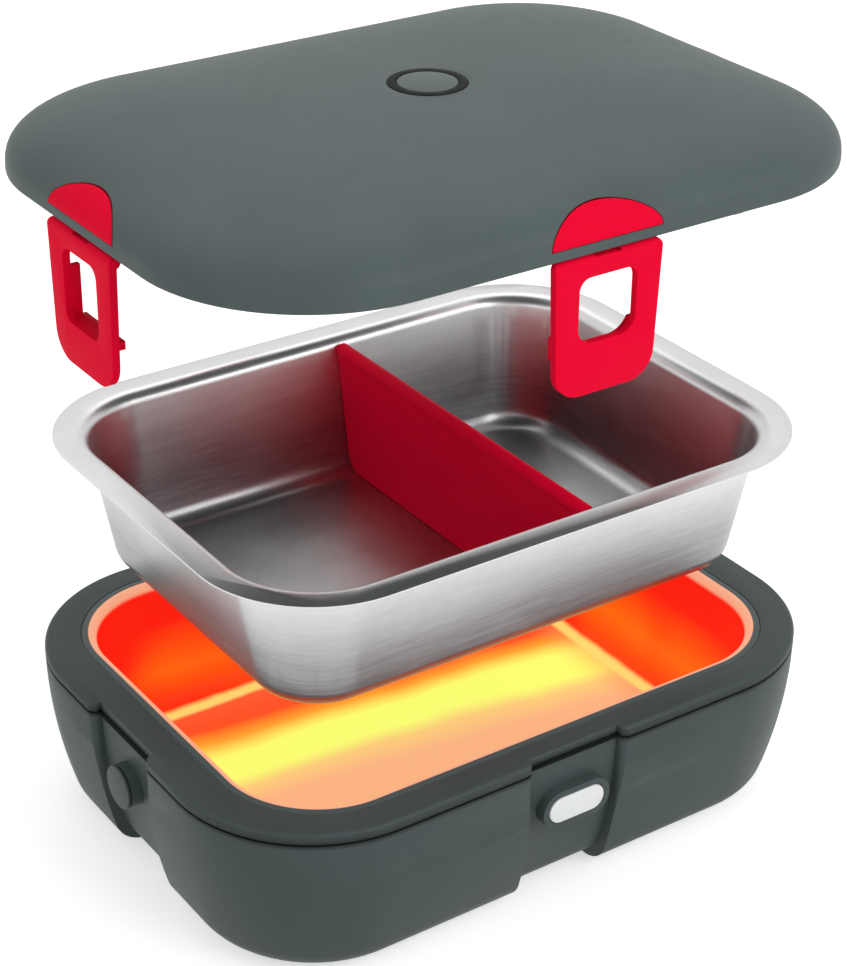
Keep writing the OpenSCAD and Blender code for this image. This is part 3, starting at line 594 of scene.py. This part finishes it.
class Dome:
    """The lid's crowned form. It draws in from the edge as it rises, with corners that grow tighter."""

    def __init__(self, off=0.0):
        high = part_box("lid_shell")[1]
        sizes = bpy.context.scene.lunchbox_sizes
        self.off = off
        self.half = Vector((high.x - off, high.y - off))
        self.corner = sizes.lid_corner
        self.edge_z = high.z - sizes.lid_rise
        self.rise = sizes.lid_rise - off

    def radius(self, inset):
        share = inset / DOME_REACH
        drawn_in = (self.corner - DOME_TIP + DOME_PULL) * share - DOME_PULL * share ** 2
        return max(self.corner - drawn_in - self.off, DOME_LEAST_RADIUS)

    def height(self, inset):
        """Height over the lid's edge where the dome has drawn in by inset."""
        leaning = max(0.0, 1 - inset / DOME_REACH) ** (1 / DOME_EDGE)
        return self.rise * math.sqrt(1 - leaning ** 2) ** DOME_RISE

    def inset_at_height(self, height):
        sine = min(1.0, max(0.0, height / self.rise)) ** (1 / DOME_RISE)
        return DOME_REACH * (1 - math.sqrt(1 - sine ** 2) ** DOME_EDGE)

    def ring(self, inset):
        outline = rounded_outline(self.half.x - inset, self.half.y - inset, self.radius(inset))
        return [(x, y, self.edge_z + self.height(inset)) for x, y in outline]

    def inset_at(self, x, y):
        """Halves the range of insets until the outline passes through the point."""
        low, high = 0.0, DOME_REACH
        for _ in range(HALVINGS):
            middle = (low + high) / 2
            radius = self.radius(middle)
            over_x = abs(x) - (self.half.x - middle - radius)
            over_y = abs(y) - (self.half.y - middle - radius)
            beyond = math.hypot(max(over_x, 0.0), max(over_y, 0.0)) + min(max(over_x, over_y), 0.0)
            if beyond > radius:
                high = middle
            else:
                low = middle
        return low

    def over(self, x, y):
        return x, y, self.edge_z + self.height(self.inset_at(x, y))

    def rings(self, steps, deepest):
        """Rings from the edge up to the inset deepest, close together where the dome turns fast."""
        last = math.acos((1 - deepest / DOME_REACH) ** (1 / DOME_EDGE))
        turns = [last * (k / steps) ** RING_CROWDING for k in range(steps + 1)]
        return [self.ring(DOME_REACH * (1 - math.cos(turn) ** DOME_EDGE)) for turn in turns]

    def rings_to_circle(self, start, radius, steps):
        """Rings that run from a ring of the dome into a circle round its middle."""
        circle = round_ring(radius, 0)
        rings = []
        for k in range(1, steps + 1):
            share = k / steps
            rings.append([
                self.over(x + (cx - x) * share, y + (cy - y) * share)
                for (x, y, _), (cx, cy, _) in zip(start, circle)])
        return rings


def lid_rings(sizes):
    """Closed section of the lid: round edge, dome, vent well, boss of the well, inner side."""
    outer, inner = Dome(), Dome(sizes.lid_wall)
    edge = []
    for degrees in LID_EDGE_DEGREES:
        turn = math.radians(degrees)
        out = LID_EDGE_ROUND * (1 - math.sin(turn))
        z = outer.edge_z + LID_EDGE_ROUND * (1 - math.cos(turn))
        outline = rounded_outline(outer.half.x - out, outer.half.y - out, outer.corner - out)
        edge.append([(x, y, z) for x, y in outline])
    dome = outer.rings(sizes.dome_rings, DOME_DEEPEST)
    dome = [ring for ring in dome if ring[0][2] > outer.edge_z + LID_EDGE_ROUND]
    low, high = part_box("vent_ring")
    seat = high.x + VENT_SEAT_GAP
    seat_z = low.z
    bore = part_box("vent_button")[1].x + VENT_BORE_GAP
    bore_z = seat_z - VENT_BORE_DEPTH
    boss_r = bore + VENT_BOSS_WALL
    boss_z = outer.edge_z + sizes.lid_rise - VENT_BOSS_UNDER
    crown = outer.rings_to_circle(dome[-1], seat + WELL_START, CROWN_RINGS)
    crown_z = max(point[2] for point in crown[-1])
    mouth = [(seat + out, crown_z - drop) for out, drop in WELL_MOUTH]
    stepped = [(seat, seat_z), (bore, seat_z), (bore, bore_z),
               (VENT_STEM_R, bore_z), (VENT_STEM_R, boss_z), (boss_r, boss_z)]
    well = [round_ring(radius, z) for radius, z in mouth + stepped]
    inside = inner.rings(sizes.dome_rings // 2, DOME_DEEPEST)
    below = inner.rings_to_circle(inside[-1], boss_r, UNDER_CROWN_RINGS)
    return edge + dome + crown + well + below[::-1] + inside[::-1]


def lug_profile(pin_y, pin_z, edge_z):
    """Outline, in y and z, of a lug that runs from the lid's inner side round a hinge pin."""
    turns = [math.radians(-90 + 180 * k / LUG_STEPS) for k in range(LUG_STEPS + 1)]
    nose = [(pin_y - LUG_R * math.cos(a), pin_z + LUG_R * math.sin(a)) for a in turns]
    neck = pin_y + LUG_R + LUG_FRONT
    top = edge_z + LUG_RISE
    return nose + [(neck, pin_z + LUG_R), (neck, edge_z), (LUG_FRONT, edge_z), (LUG_FRONT, top),
                   (LUG_BACK, top), (LUG_BACK, pin_z - LUG_R)]


def post_rings(x, y, foot_z, head_z):
    sections = ((foot_z, POST_FOOT_R), (foot_z + POST_CHAMFER, POST_LOW_R),
                (head_z - POST_FLARE, POST_HIGH_R), (head_z, POST_HEAD_R))
    return [[(x + px, y + py, z) for px, py, _ in round_ring(radius, 0)[::4]] for z, radius in sections]


def merged(first, *others):
    """Joins pieces that are made of one material into the first."""
    work = bmesh.new()
    for piece in (first, *others):
        work.from_mesh(piece.data)
    work.to_mesh(first.data)
    work.free()
    for piece in others:
        bpy.data.objects.remove(piece)
    crisply_smooth(first.data)
    return first


class LUNCHBOX_OT_lid(bpy.types.Operator):
    """Smooth crowned lid with its wall, vent well, hinge lugs and posts"""

    bl_idname = "lunchbox.lid"
    bl_label = "Lid"

    def execute(self, context):
        colours = context.scene.lunchbox_colours
        sizes = context.scene.lunchbox_sizes
        plastic = moulded_plastic("lid_plastic", colours.lid, 0.52)
        crimson = silicone("lug_crimson", colours.latch)
        lid = skin("lid_dome", lid_rings(sizes), plastic, ends=False)
        dome, inner = Dome(), Dome(sizes.lid_wall)
        low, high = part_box("latch_pins")
        side = dome.half - Vector((HINGE_INSET, HINGE_INSET))
        profile = lug_profile(side.y - high.y + PIN_R, (low.z + high.z) / 2, dome.edge_z)
        lugs = []
        for k in range(len(SIDES)):
            half = side.y if k % 2 == 0 else side.x
            rings = [[on_side(k, half, x, y, z) for y, z in profile] for x in (-LUG_HALF, LUG_HALF)]
            lug = skin("hinge_lugs", rings, crimson)
            lugs.append(applied(lug, "BEVEL", width=LUG_EDGE, segments=2, limit_method="ANGLE"))
        dressed(merged(*lugs), "lid", "crimson_latch")
        foot_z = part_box("lid_liner")[1].z
        posts = []
        for sx, sy in QUARTERS:
            x, y = sx * (side.x - POST_INSET), sy * (side.y - POST_INSET)
            head_z = inner.over(x, y)[2] + POST_SUNK
            posts.append(skin("post", post_rings(x, y, foot_z, head_z), plastic))
        dressed(merged(lid, *posts), "lid", "slate_lid", "lid_shell")
        return {"FINISHED"}


class LUNCHBOX_OT_lid_inside(bpy.types.Operator):
    """Liner, gasket and vent of the lid"""

    bl_idname = "lunchbox.lid_inside"
    bl_label = "Lid inside and vent"

    def execute(self, context):
        colours = context.scene.lunchbox_colours
        edge = context.scene.lunchbox_sizes.edge
        plastic = moulded_plastic("liner_plastic", colours.lid, 0.45)
        rubber = silicone("black_rubber", RUBBER_BLACK, 0.45)
        seal = silicone("seal_silicone", SEAL_GREY, 0.4)
        stand_in("liner_plate", "lid_liner", "lid", "slate_lid", plastic, edge)
        stand_in("seal_ring", "lid_gasket", "lid", "gasket_silicone", seal, edge)
        stand_in("vent_collar", "vent_ring", "lid", "black_rubber", rubber, VENT_COLLAR_EDGE)
        stand_in("vent_disc", "vent_button", "vent", "slate_lid", plastic, VENT_DISC_EDGE)
        carried_over("vent_valve", rubber)
        return {"FINISHED"}


class LUNCHBOX_OT_latches(bpy.types.Operator):
    """The four latches with softly rounded edges, and their hinge pins"""

    bl_idname = "lunchbox.latches"
    bl_label = "Latches"

    def execute(self, context):
        crimson = silicone("latch_crimson", context.scene.lunchbox_colours.latch)
        edge = context.scene.lunchbox_sizes.edge
        for side in SIDES:
            node = "latch_" + side
            stand_in(node + "_strap", node, node, "crimson_latch", crimson, edge)
        carried_over("latch_pins", plain_metal("pin_steel", PIN_STEEL))
        return {"FINISHED"}


# ---------------------------------------------------------------- inlays


ARCH_STEPS = 48
FOOT_STEPS = 24
INLAY_MIDDLE = 0.42
# Layers of an inlay from its root to its face: share of the outline, and how far it stands off the dome
INLAY_PROUD = 0.25 * MM
INLAY_RIM = ((1, -0.5 * MM), (1, 0.0), (0.995, 0.13 * MM), (0.985, 0.2 * MM), (0.96, 0.24 * MM))
INLAY_LAYERS = INLAY_RIM + tuple((share, INLAY_PROUD) for share in (0.8, 0.6, 0.4, 0.2, 0.02))
# The painted shadow of the joint round it is a wider outline that stays lower
JOINT_SHADOW_LAYERS = ((1, -0.5 * MM), (1, 0.05 * MM), (0.97, 0.05 * MM))
JOINT_SIDE = 0.28 * MM
JOINT_TOP = 0.3 * MM
JOINT_FOOT = 0.25 * MM


def half_oval(half, high, drop=0.0):
    """Outline of an inlay in front view: a half oval on a straight foot, which may lie drop below it."""
    turns = [math.pi * k / ARCH_STEPS for k in range(ARCH_STEPS + 1)]
    arch = [(half * math.cos(a), high * math.sin(a)) for a in turns]
    steps = range(FOOT_STEPS + 1) if drop else range(1, FOOT_STEPS)
    return arch + [(half * (2 * k / FOOT_STEPS - 1), -drop) for k in steps]


def inlay_patch(name, k, dome, outline, foot_z, layers, material):
    """A patch that follows the dome on side k, through layers that shrink towards the outline's middle."""
    half = dome.half.y if k % 2 == 0 else dome.half.x
    middle = max(z for _, z in outline) * INLAY_MIDDLE
    rings = []
    for share, proud in layers:
        ring = []
        for x, z in outline:
            height = foot_z - dome.edge_z + middle + (z - middle) * share
            inset = dome.inset_at_height(height) - proud
            ring.append(on_side(k, half, x * share, inset, dome.edge_z + height))
        rings.append(ring)
    return skin(name, rings, material)


class LUNCHBOX_OT_inlays(bpy.types.Operator):
    """Half-oval inlays in the lid above the latches, with a painted shadow of a fine joint round them"""

    bl_idname = "lunchbox.inlays"
    bl_label = "Inlays"

    def execute(self, context):
        colours = context.scene.lunchbox_colours
        crimson = silicone("inlay_crimson", colours.latch)
        shadow = silicone("joint_shadow", tinted(colours.latch, 0.12), 0.7)
        dome = Dome()
        for k, side in enumerate(SIDES):
            node = "inlay_" + side
            low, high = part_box(node)
            half = (high.x - low.x) / 2 if k % 2 == 0 else (high.y - low.y) / 2
            rise = high.z - low.z
            face = half_oval(half, rise)
            patch = inlay_patch(node + "_patch", k, dome, face, low.z, INLAY_LAYERS, crimson)
            dressed(patch, "lid", "crimson_silicone", node)
            # Painted shadow: a dark sheet round each inlay where its joint lies in shade.
            wide = half_oval(half + JOINT_SIDE, rise + JOINT_TOP, JOINT_FOOT)
            shadow_sheet = inlay_patch(node + "_joint", k, dome, wide, low.z, JOINT_SHADOW_LAYERS, shadow)
            dressed(shadow_sheet, "lid", "crimson_silicone")
        return {"FINISHED"}


# ---------------------------------------------------------------- tray and pan


SHEET_EDGE = 0.2 * MM
SHEET_ANGLE = 60
BRUSHED_ALONG = (0.05, 0.05, 1.0)

# Where the pan's colours change, measured inwards from the outline of its lip
PAN_SHEET = 1.2 * MM
PAN_DEPTH = 55 * MM
PAN_FLOOR_HALF = (96 * MM, 66 * MM)
PAN_LIP_CORNER = 40.5 * MM
PAN_LIP_EDGE = (2.3 * MM, 2.8 * MM)
PAN_FLOOR_EDGE = (17 * MM, 22 * MM)
# Painted highlight along the joint of floor and wall: where it lies, how it fades, and how far it wanders
PAN_HIGHLIGHT_AT = 20.5 * MM
PAN_HIGHLIGHT_FADE = (0.8 * MM, 3.2 * MM)
PAN_HIGHLIGHT_WOBBLE = 1.5 * MM

GLOW_STRENGTH = 0.76
SALMON = (0.82, 0.46, 0.23)
STRAW = (0.82, 0.62, 0.2)
AMBER = (0.84, 0.36, 0.025)
EMBER = (0.82, 0.08, 0.016)
BRICK = (0.82, 0.12, 0.04)
CORAL = (0.82, 0.25, 0.1)
TANGERINE = (0.82, 0.17, 0.004)
HIGHLIGHT_GOLD = (0.84, 0.74, 0.18)
BLACK = (0.0, 0.0, 0.0)


class LUNCHBOX_OT_tray(bpy.types.Operator):
    """Drawn steel tray with a brushed wall and flange"""

    bl_idname = "lunchbox.tray"
    bl_label = "Tray"

    def execute(self, context):
        low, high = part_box("tray")
        colour = context.scene.lunchbox_colours.steel
        steel = brushed_steel("tray_steel", colour, 0.3, BRUSHED_ALONG, low.z, high.z)
        stand_in("tray_sheet", "tray", "tray", "tray_steel", steel, SHEET_EDGE,
                 segments=2, angle=SHEET_ANGLE)
        return {"FINISHED"}


class LUNCHBOX_OT_divider(bpy.types.Operator):
    """Silicone divider that stands across the tray"""

    bl_idname = "lunchbox.divider"
    bl_label = "Divider"

    def execute(self, context):
        crimson = silicone("divider_crimson", context.scene.lunchbox_colours.latch)
        edge = context.scene.lunchbox_sizes.edge
        stand_in("divider_wall", "divider", "divider", "crimson_silicone", crimson, edge)
        return {"FINISHED"}


def pan_floor(finish, place, x, y, hottest):
    """Bands of heat from the floor's front to its back. They wander a little and redden at the ends."""
    half_l, half_w = PAN_FLOOR_HALF
    wander = finish.noise(place, 70 * MM, 2.0) - 0.5
    across = x / half_l
    along = (y / half_w + 1) / 2 + wander * 0.12 + across * 0.07
    bands = finish.ramp(
        along, (0.0, SALMON), (0.44, SALMON), (0.53, STRAW), (0.59, hottest), (0.71, hottest),
        (0.79, AMBER), (0.86, EMBER), (1.0, BRICK))
    ends = abs(across + 0.05).step(0.88, 1.12)
    return finish.mix(ends * 0.6, bands, CORAL)


def pan_wall(finish, place, height, colour):
    """Red wall with warmer patches low down."""
    patches = finish.noise(place, 55 * MM, 1.0).step(0.3, 0.62)
    warm = (1 - abs(height - 0.3) * 2.6).most(0.0) * patches
    return finish.mix(warm.least(1.0) * 0.8, colour, TANGERINE)


def glowing_pan(name, colours, floor_z, lip_l, lip_w):
    """Coated pan that glows with heat: banded floor, a painted highlight along the joint at its edge, red
    walls, pale lip.
    """
    finish = Finish(name, Roughness=0.5, Specular_IOR_Level=0.2, Emission_Strength=GLOW_STRENGTH)
    place = finish.place()
    x, y, z = finish.axes(place)
    height = (z - floor_z) / PAN_DEPTH
    inside = finish.inside_outline(x, y, lip_l, lip_w, PAN_LIP_CORNER)
    # Painted highlight along the joint of floor and wall, with a ragged edge.
    ragged = (finish.noise(place, 14 * MM, 3.0) - 0.5) * PAN_HIGHLIGHT_WOBBLE
    painted_joint_shading = 1 - abs(inside + ragged - PAN_HIGHLIGHT_AT).step(*PAN_HIGHLIGHT_FADE)
    floor = pan_floor(finish, place, x, y, colours.pan_floor)
    wall = pan_wall(finish, place, height, colours.pan_wall)
    body = finish.mix(inside.step(*PAN_FLOOR_EDGE), wall, floor)
    body = finish.mix(painted_joint_shading * 0.9, body, HIGHLIGHT_GOLD)
    lip = finish.mix(inside.step(*PAN_LIP_EDGE), tinted(colours.base, 0.8), colours.pan_lip)
    glow = finish.mix(height.step(0.93, 0.97), body, lip)
    finish.set(Base_Color=finish.mix(0.4, glow, BLACK), Emission_Color=glow)
    return finish.material


class LUNCHBOX_OT_pan(bpy.types.Operator):
    """Heating pan, shown hot"""

    bl_idname = "lunchbox.pan"
    bl_label = "Heating pan"

    def execute(self, context):
        low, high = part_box("heating_pan")
        colours = context.scene.lunchbox_colours
        glow = glowing_pan("pan_glow", colours, low.z + PAN_SHEET, high.x, high.y)
        stand_in("pan_well", "heating_pan", "base", "pan_enamel", glow, SHEET_EDGE,
                 segments=2, angle=SHEET_ANGLE)
        return {"FINISHED"}


# ---------------------------------------------------------------- base


BUTTON_EDGE = 0.6 * MM


class LUNCHBOX_OT_base(bpy.types.Operator):
    """Base shell, rim, bottom cover and feet"""

    bl_idname = "lunchbox.base"
    bl_label = "Base"

    def execute(self, context):
        colours = context.scene.lunchbox_colours
        edge = context.scene.lunchbox_sizes.edge
        groove_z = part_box("base_rim")[1].z - GROOVE_DROP
        plastic = moulded_plastic("base_plastic", colours.base, 0.5, seam_z=groove_z)
        rubber = silicone("foot_rubber", RUBBER_BLACK)
        stand_in("base_body", "base_shell", "base", "slate_shell", plastic, edge)
        stand_in("base_collar", "base_rim", "base", "slate_shell", plastic, edge)
        stand_in("cover_plate", "bottom_cover", "base", "slate_shell", plastic, edge)
        stand_in("foot_pads", "feet", "base", "black_rubber", rubber, edge)
        return {"FINISHED"}


class LUNCHBOX_OT_button(bpy.types.Operator):
    """White power button"""

    bl_idname = "lunchbox.button"
    bl_label = "Power button"

    def execute(self, context):
        white = button_lens("button_lens")
        stand_in("button_cap", "power_button", "power_button", "button_white", white,
                 BUTTON_EDGE, segments=4)
        return {"FINISHED"}


class LUNCHBOX_OT_inlet(bpy.types.Operator):
    """Inlet socket, its pin and its cap"""

    bl_idname = "lunchbox.inlet"
    bl_label = "Power inlet"

    def execute(self, context):
        plastic = moulded_plastic("cap_plastic", context.scene.lunchbox_colours.base, 0.5)
        edge = context.scene.lunchbox_sizes.edge
        stand_in("cap_plug", "inlet_cap", "inlet_cap", "slate_shell", plastic, edge)
        carried_over("inlet_socket", moulded_plastic("socket_plastic", PLASTIC_BLACK, 0.5))
        carried_over("inlet_pin", plain_metal("pin_brass", BRASS, 0.25))
        return {"FINISHED"}


class LUNCHBOX_OT_electrics(bpy.types.Operator):
    """Heaters, insulation, board and small parts inside the base"""

    bl_idname = "lunchbox.electrics"
    bl_label = "Electrics"

    def execute(self, context):
        foil = etched_foil("heater_foil", FOIL_AMBER)
        steel = plain_metal("small_steel", SMALL_STEEL)
        for node in ("floor_heater", "wall_heater"):
            carried_over(node, foil)
        for node in ("cover_screws", "board_screws", "thermostat", "thermal_fuse"):
            carried_over(node, steel)
        carried_over("insulation_pad", felt("pad_felt", FELT_CREAM))
        carried_over("control_board", solder_mask("board_mask", BOARD_GREEN))
        carried_over("power_switch", moulded_plastic("switch_plastic", PLASTIC_BLACK, 0.4))
        carried_over("status_led", silicone("led_lens", LAMP_LENS, 0.2))
        return {"FINISHED"}


# ---------------------------------------------------------------- studio


FLOOR_HALF = 6.0
FLOOR_GLOW = 0.55
WORLD_GLOW = 0.5
WHITE = (1.0, 1.0, 1.0)
SENSOR_WIDTH = 36
LOOK_AT = Vector((0, 0, 130.9 * MM))
LAMP_AIM = Vector((0, 0, 0.14))
FAR_CLIP = 50

# Width of each lamp, and where it hangs
KEY_LAMP = (0.9, Vector((0.45, -1.2, 1.0)))
FILL_LAMP = (1.2, Vector((-1.3, -0.3, 0.7)))
TOP_LAMP = (1.2, Vector((0.3, 0.6, 1.5)))


class LUNCHBOX_OT_stage(bpy.types.Operator):
    """Pale floor, soft studio lamps and the camera"""

    bl_idname = "lunchbox.stage"
    bl_label = "Studio"

    def execute(self, context):
        scene = context.scene
        studio = scene.lunchbox_studio
        scene.view_settings.view_transform = "Standard"
        pale_floor(scene.lunchbox_colours.floor)
        pale_world(scene)
        area_lamp("key_lamp", studio.key_power, *KEY_LAMP)
        area_lamp("fill_lamp", studio.fill_power, *FILL_LAMP)
        area_lamp("top_lamp", studio.top_power, *TOP_LAMP)
        scene.camera = studio_camera(studio)
        return {"FINISHED"}


def seen_directly(tree):
    """A socket that is 1 for rays from the camera, a mirror or a glass, and 0 for the light on the box."""
    path = tree.nodes.new("ShaderNodeLightPath")
    seen = path.outputs["Is Camera Ray"]
    for ray in ("Is Glossy Ray", "Is Transmission Ray"):
        most = tree.nodes.new("ShaderNodeMath")
        most.operation = "MAXIMUM"
        tree.links.new(seen, most.inputs[0])
        tree.links.new(path.outputs[ray], most.inputs[1])
        seen = most.outputs[0]
    return seen


def pale_floor(colour):
    """Floor that looks white and keeps the box's shadow."""
    mesh = bpy.data.meshes.new("studio_floor")
    corners = [(sx * FLOOR_HALF, sy * FLOOR_HALF, 0) for sx, sy in QUARTERS]
    mesh.from_pydata(corners, [], [(0, 1, 2, 3)])
    finish = Finish("floor_paint", Roughness=0.9, Specular_IOR_Level=0.1, Emission_Strength=FLOOR_GLOW)
    finish.set(Base_Color=tuple(colour))
    seen = Amount(finish, seen_directly(finish.tree))
    finish.set(Emission_Color=finish.mix(seen, BLACK, WHITE))
    floor = new_object("studio_floor", mesh, finish.material)


def pale_world(scene):
    """White where the camera or a reflection looks past the floor, and a softer light on the box."""
    world = bpy.data.worlds.new("studio_world")
    world.use_nodes = True
    scene.world = world
    tree = world.node_tree
    background = tree.nodes["Background"]
    strength = tree.nodes.new("ShaderNodeMapRange")
    strength.inputs["To Min"].default_value = WORLD_GLOW
    strength.inputs["To Max"].default_value = 1.0
    tree.links.new(seen_directly(tree), strength.inputs["Value"])
    tree.links.new(strength.outputs[0], background.inputs["Strength"])
    background.inputs["Color"].default_value = (*WHITE, 1.0)


def area_lamp(name, power, width, place):
    data = bpy.data.lights.new(name, "AREA")
    data.energy = power
    data.size = width
    lamp = bpy.data.objects.new(name, data)
    bpy.context.scene.collection.objects.link(lamp)
    lamp.location = place
    lamp.rotation_euler = (LAMP_AIM - place).to_track_quat("-Z", "Y").to_euler()


def studio_camera(studio):
    data = bpy.data.cameras.new("studio_camera")
    data.sensor_fit = "HORIZONTAL"
    data.sensor_width = SENSOR_WIDTH
    data.lens = studio.lens
    data.clip_end = FAR_CLIP
    camera = bpy.data.objects.new("studio_camera", data)
    bpy.context.scene.collection.objects.link(camera)
    azimuth = math.radians(studio.azimuth)
    elevation = math.radians(studio.elevation)
    back = Vector((
        math.sin(azimuth) * math.cos(elevation),
        -math.cos(azimuth) * math.cos(elevation),
        math.sin(elevation)))
    place = Matrix.Translation(LOOK_AT + back * studio.distance)
    turn = (-back).to_track_quat("-Z", "Y").to_matrix().to_4x4()
    roll = Matrix.Rotation(math.radians(studio.roll), 4, "Z")
    camera.matrix_world = place @ turn @ roll
    return camera


OPERATORS = [
    LUNCHBOX_OT_stage,
    LUNCHBOX_OT_base,
    LUNCHBOX_OT_pan,
    LUNCHBOX_OT_button,
    LUNCHBOX_OT_inlet,
    LUNCHBOX_OT_electrics,
    LUNCHBOX_OT_tray,
    LUNCHBOX_OT_divider,
    LUNCHBOX_OT_lid,
    LUNCHBOX_OT_lid_inside,
    LUNCHBOX_OT_inlays,
    LUNCHBOX_OT_latches,
]


class LUNCHBOX_PT_panel(bpy.types.Panel):
    """Lists the pieces of the lunch box and the settings they take"""

    bl_idname = "LUNCHBOX_PT_panel"
    bl_label = "Lunch box"
    bl_space_type = "VIEW_3D"
    bl_region_type = "UI"
    bl_category = "Lunch box"

    def draw(self, context):
        for group_name in GROUPS:
            group = getattr(context.scene, group_name)
            box = self.layout.box()
            for name in group.__annotations__:
                box.prop(group, name)
        column = self.layout.column()
        for operator in OPERATORS:
            column.operator(operator.bl_idname)


GROUPS = {
    "lunchbox_colours": LunchBoxColours,
    "lunchbox_sizes": LunchBoxSizes,
    "lunchbox_studio": LunchBoxStudio,
}


def register():
    for cls in [*GROUPS.values(), *OPERATORS, LUNCHBOX_PT_panel]:
        bpy.utils.register_class(cls)
    for name, group in GROUPS.items():
        setattr(bpy.types.Scene, name, PointerProperty(type=group))


def unregister():
    for name in GROUPS:
        delattr(bpy.types.Scene, name)
    for cls in [LUNCHBOX_PT_panel, *reversed(OPERATORS), *reversed(GROUPS.values())]:
        bpy.utils.unregister_class(cls)


def main():
    register()
    for operator in OPERATORS:
        module, name = operator.bl_idname.split(".")
        getattr(getattr(bpy.ops, module), name)()


if __name__ == "__main__":
    main()
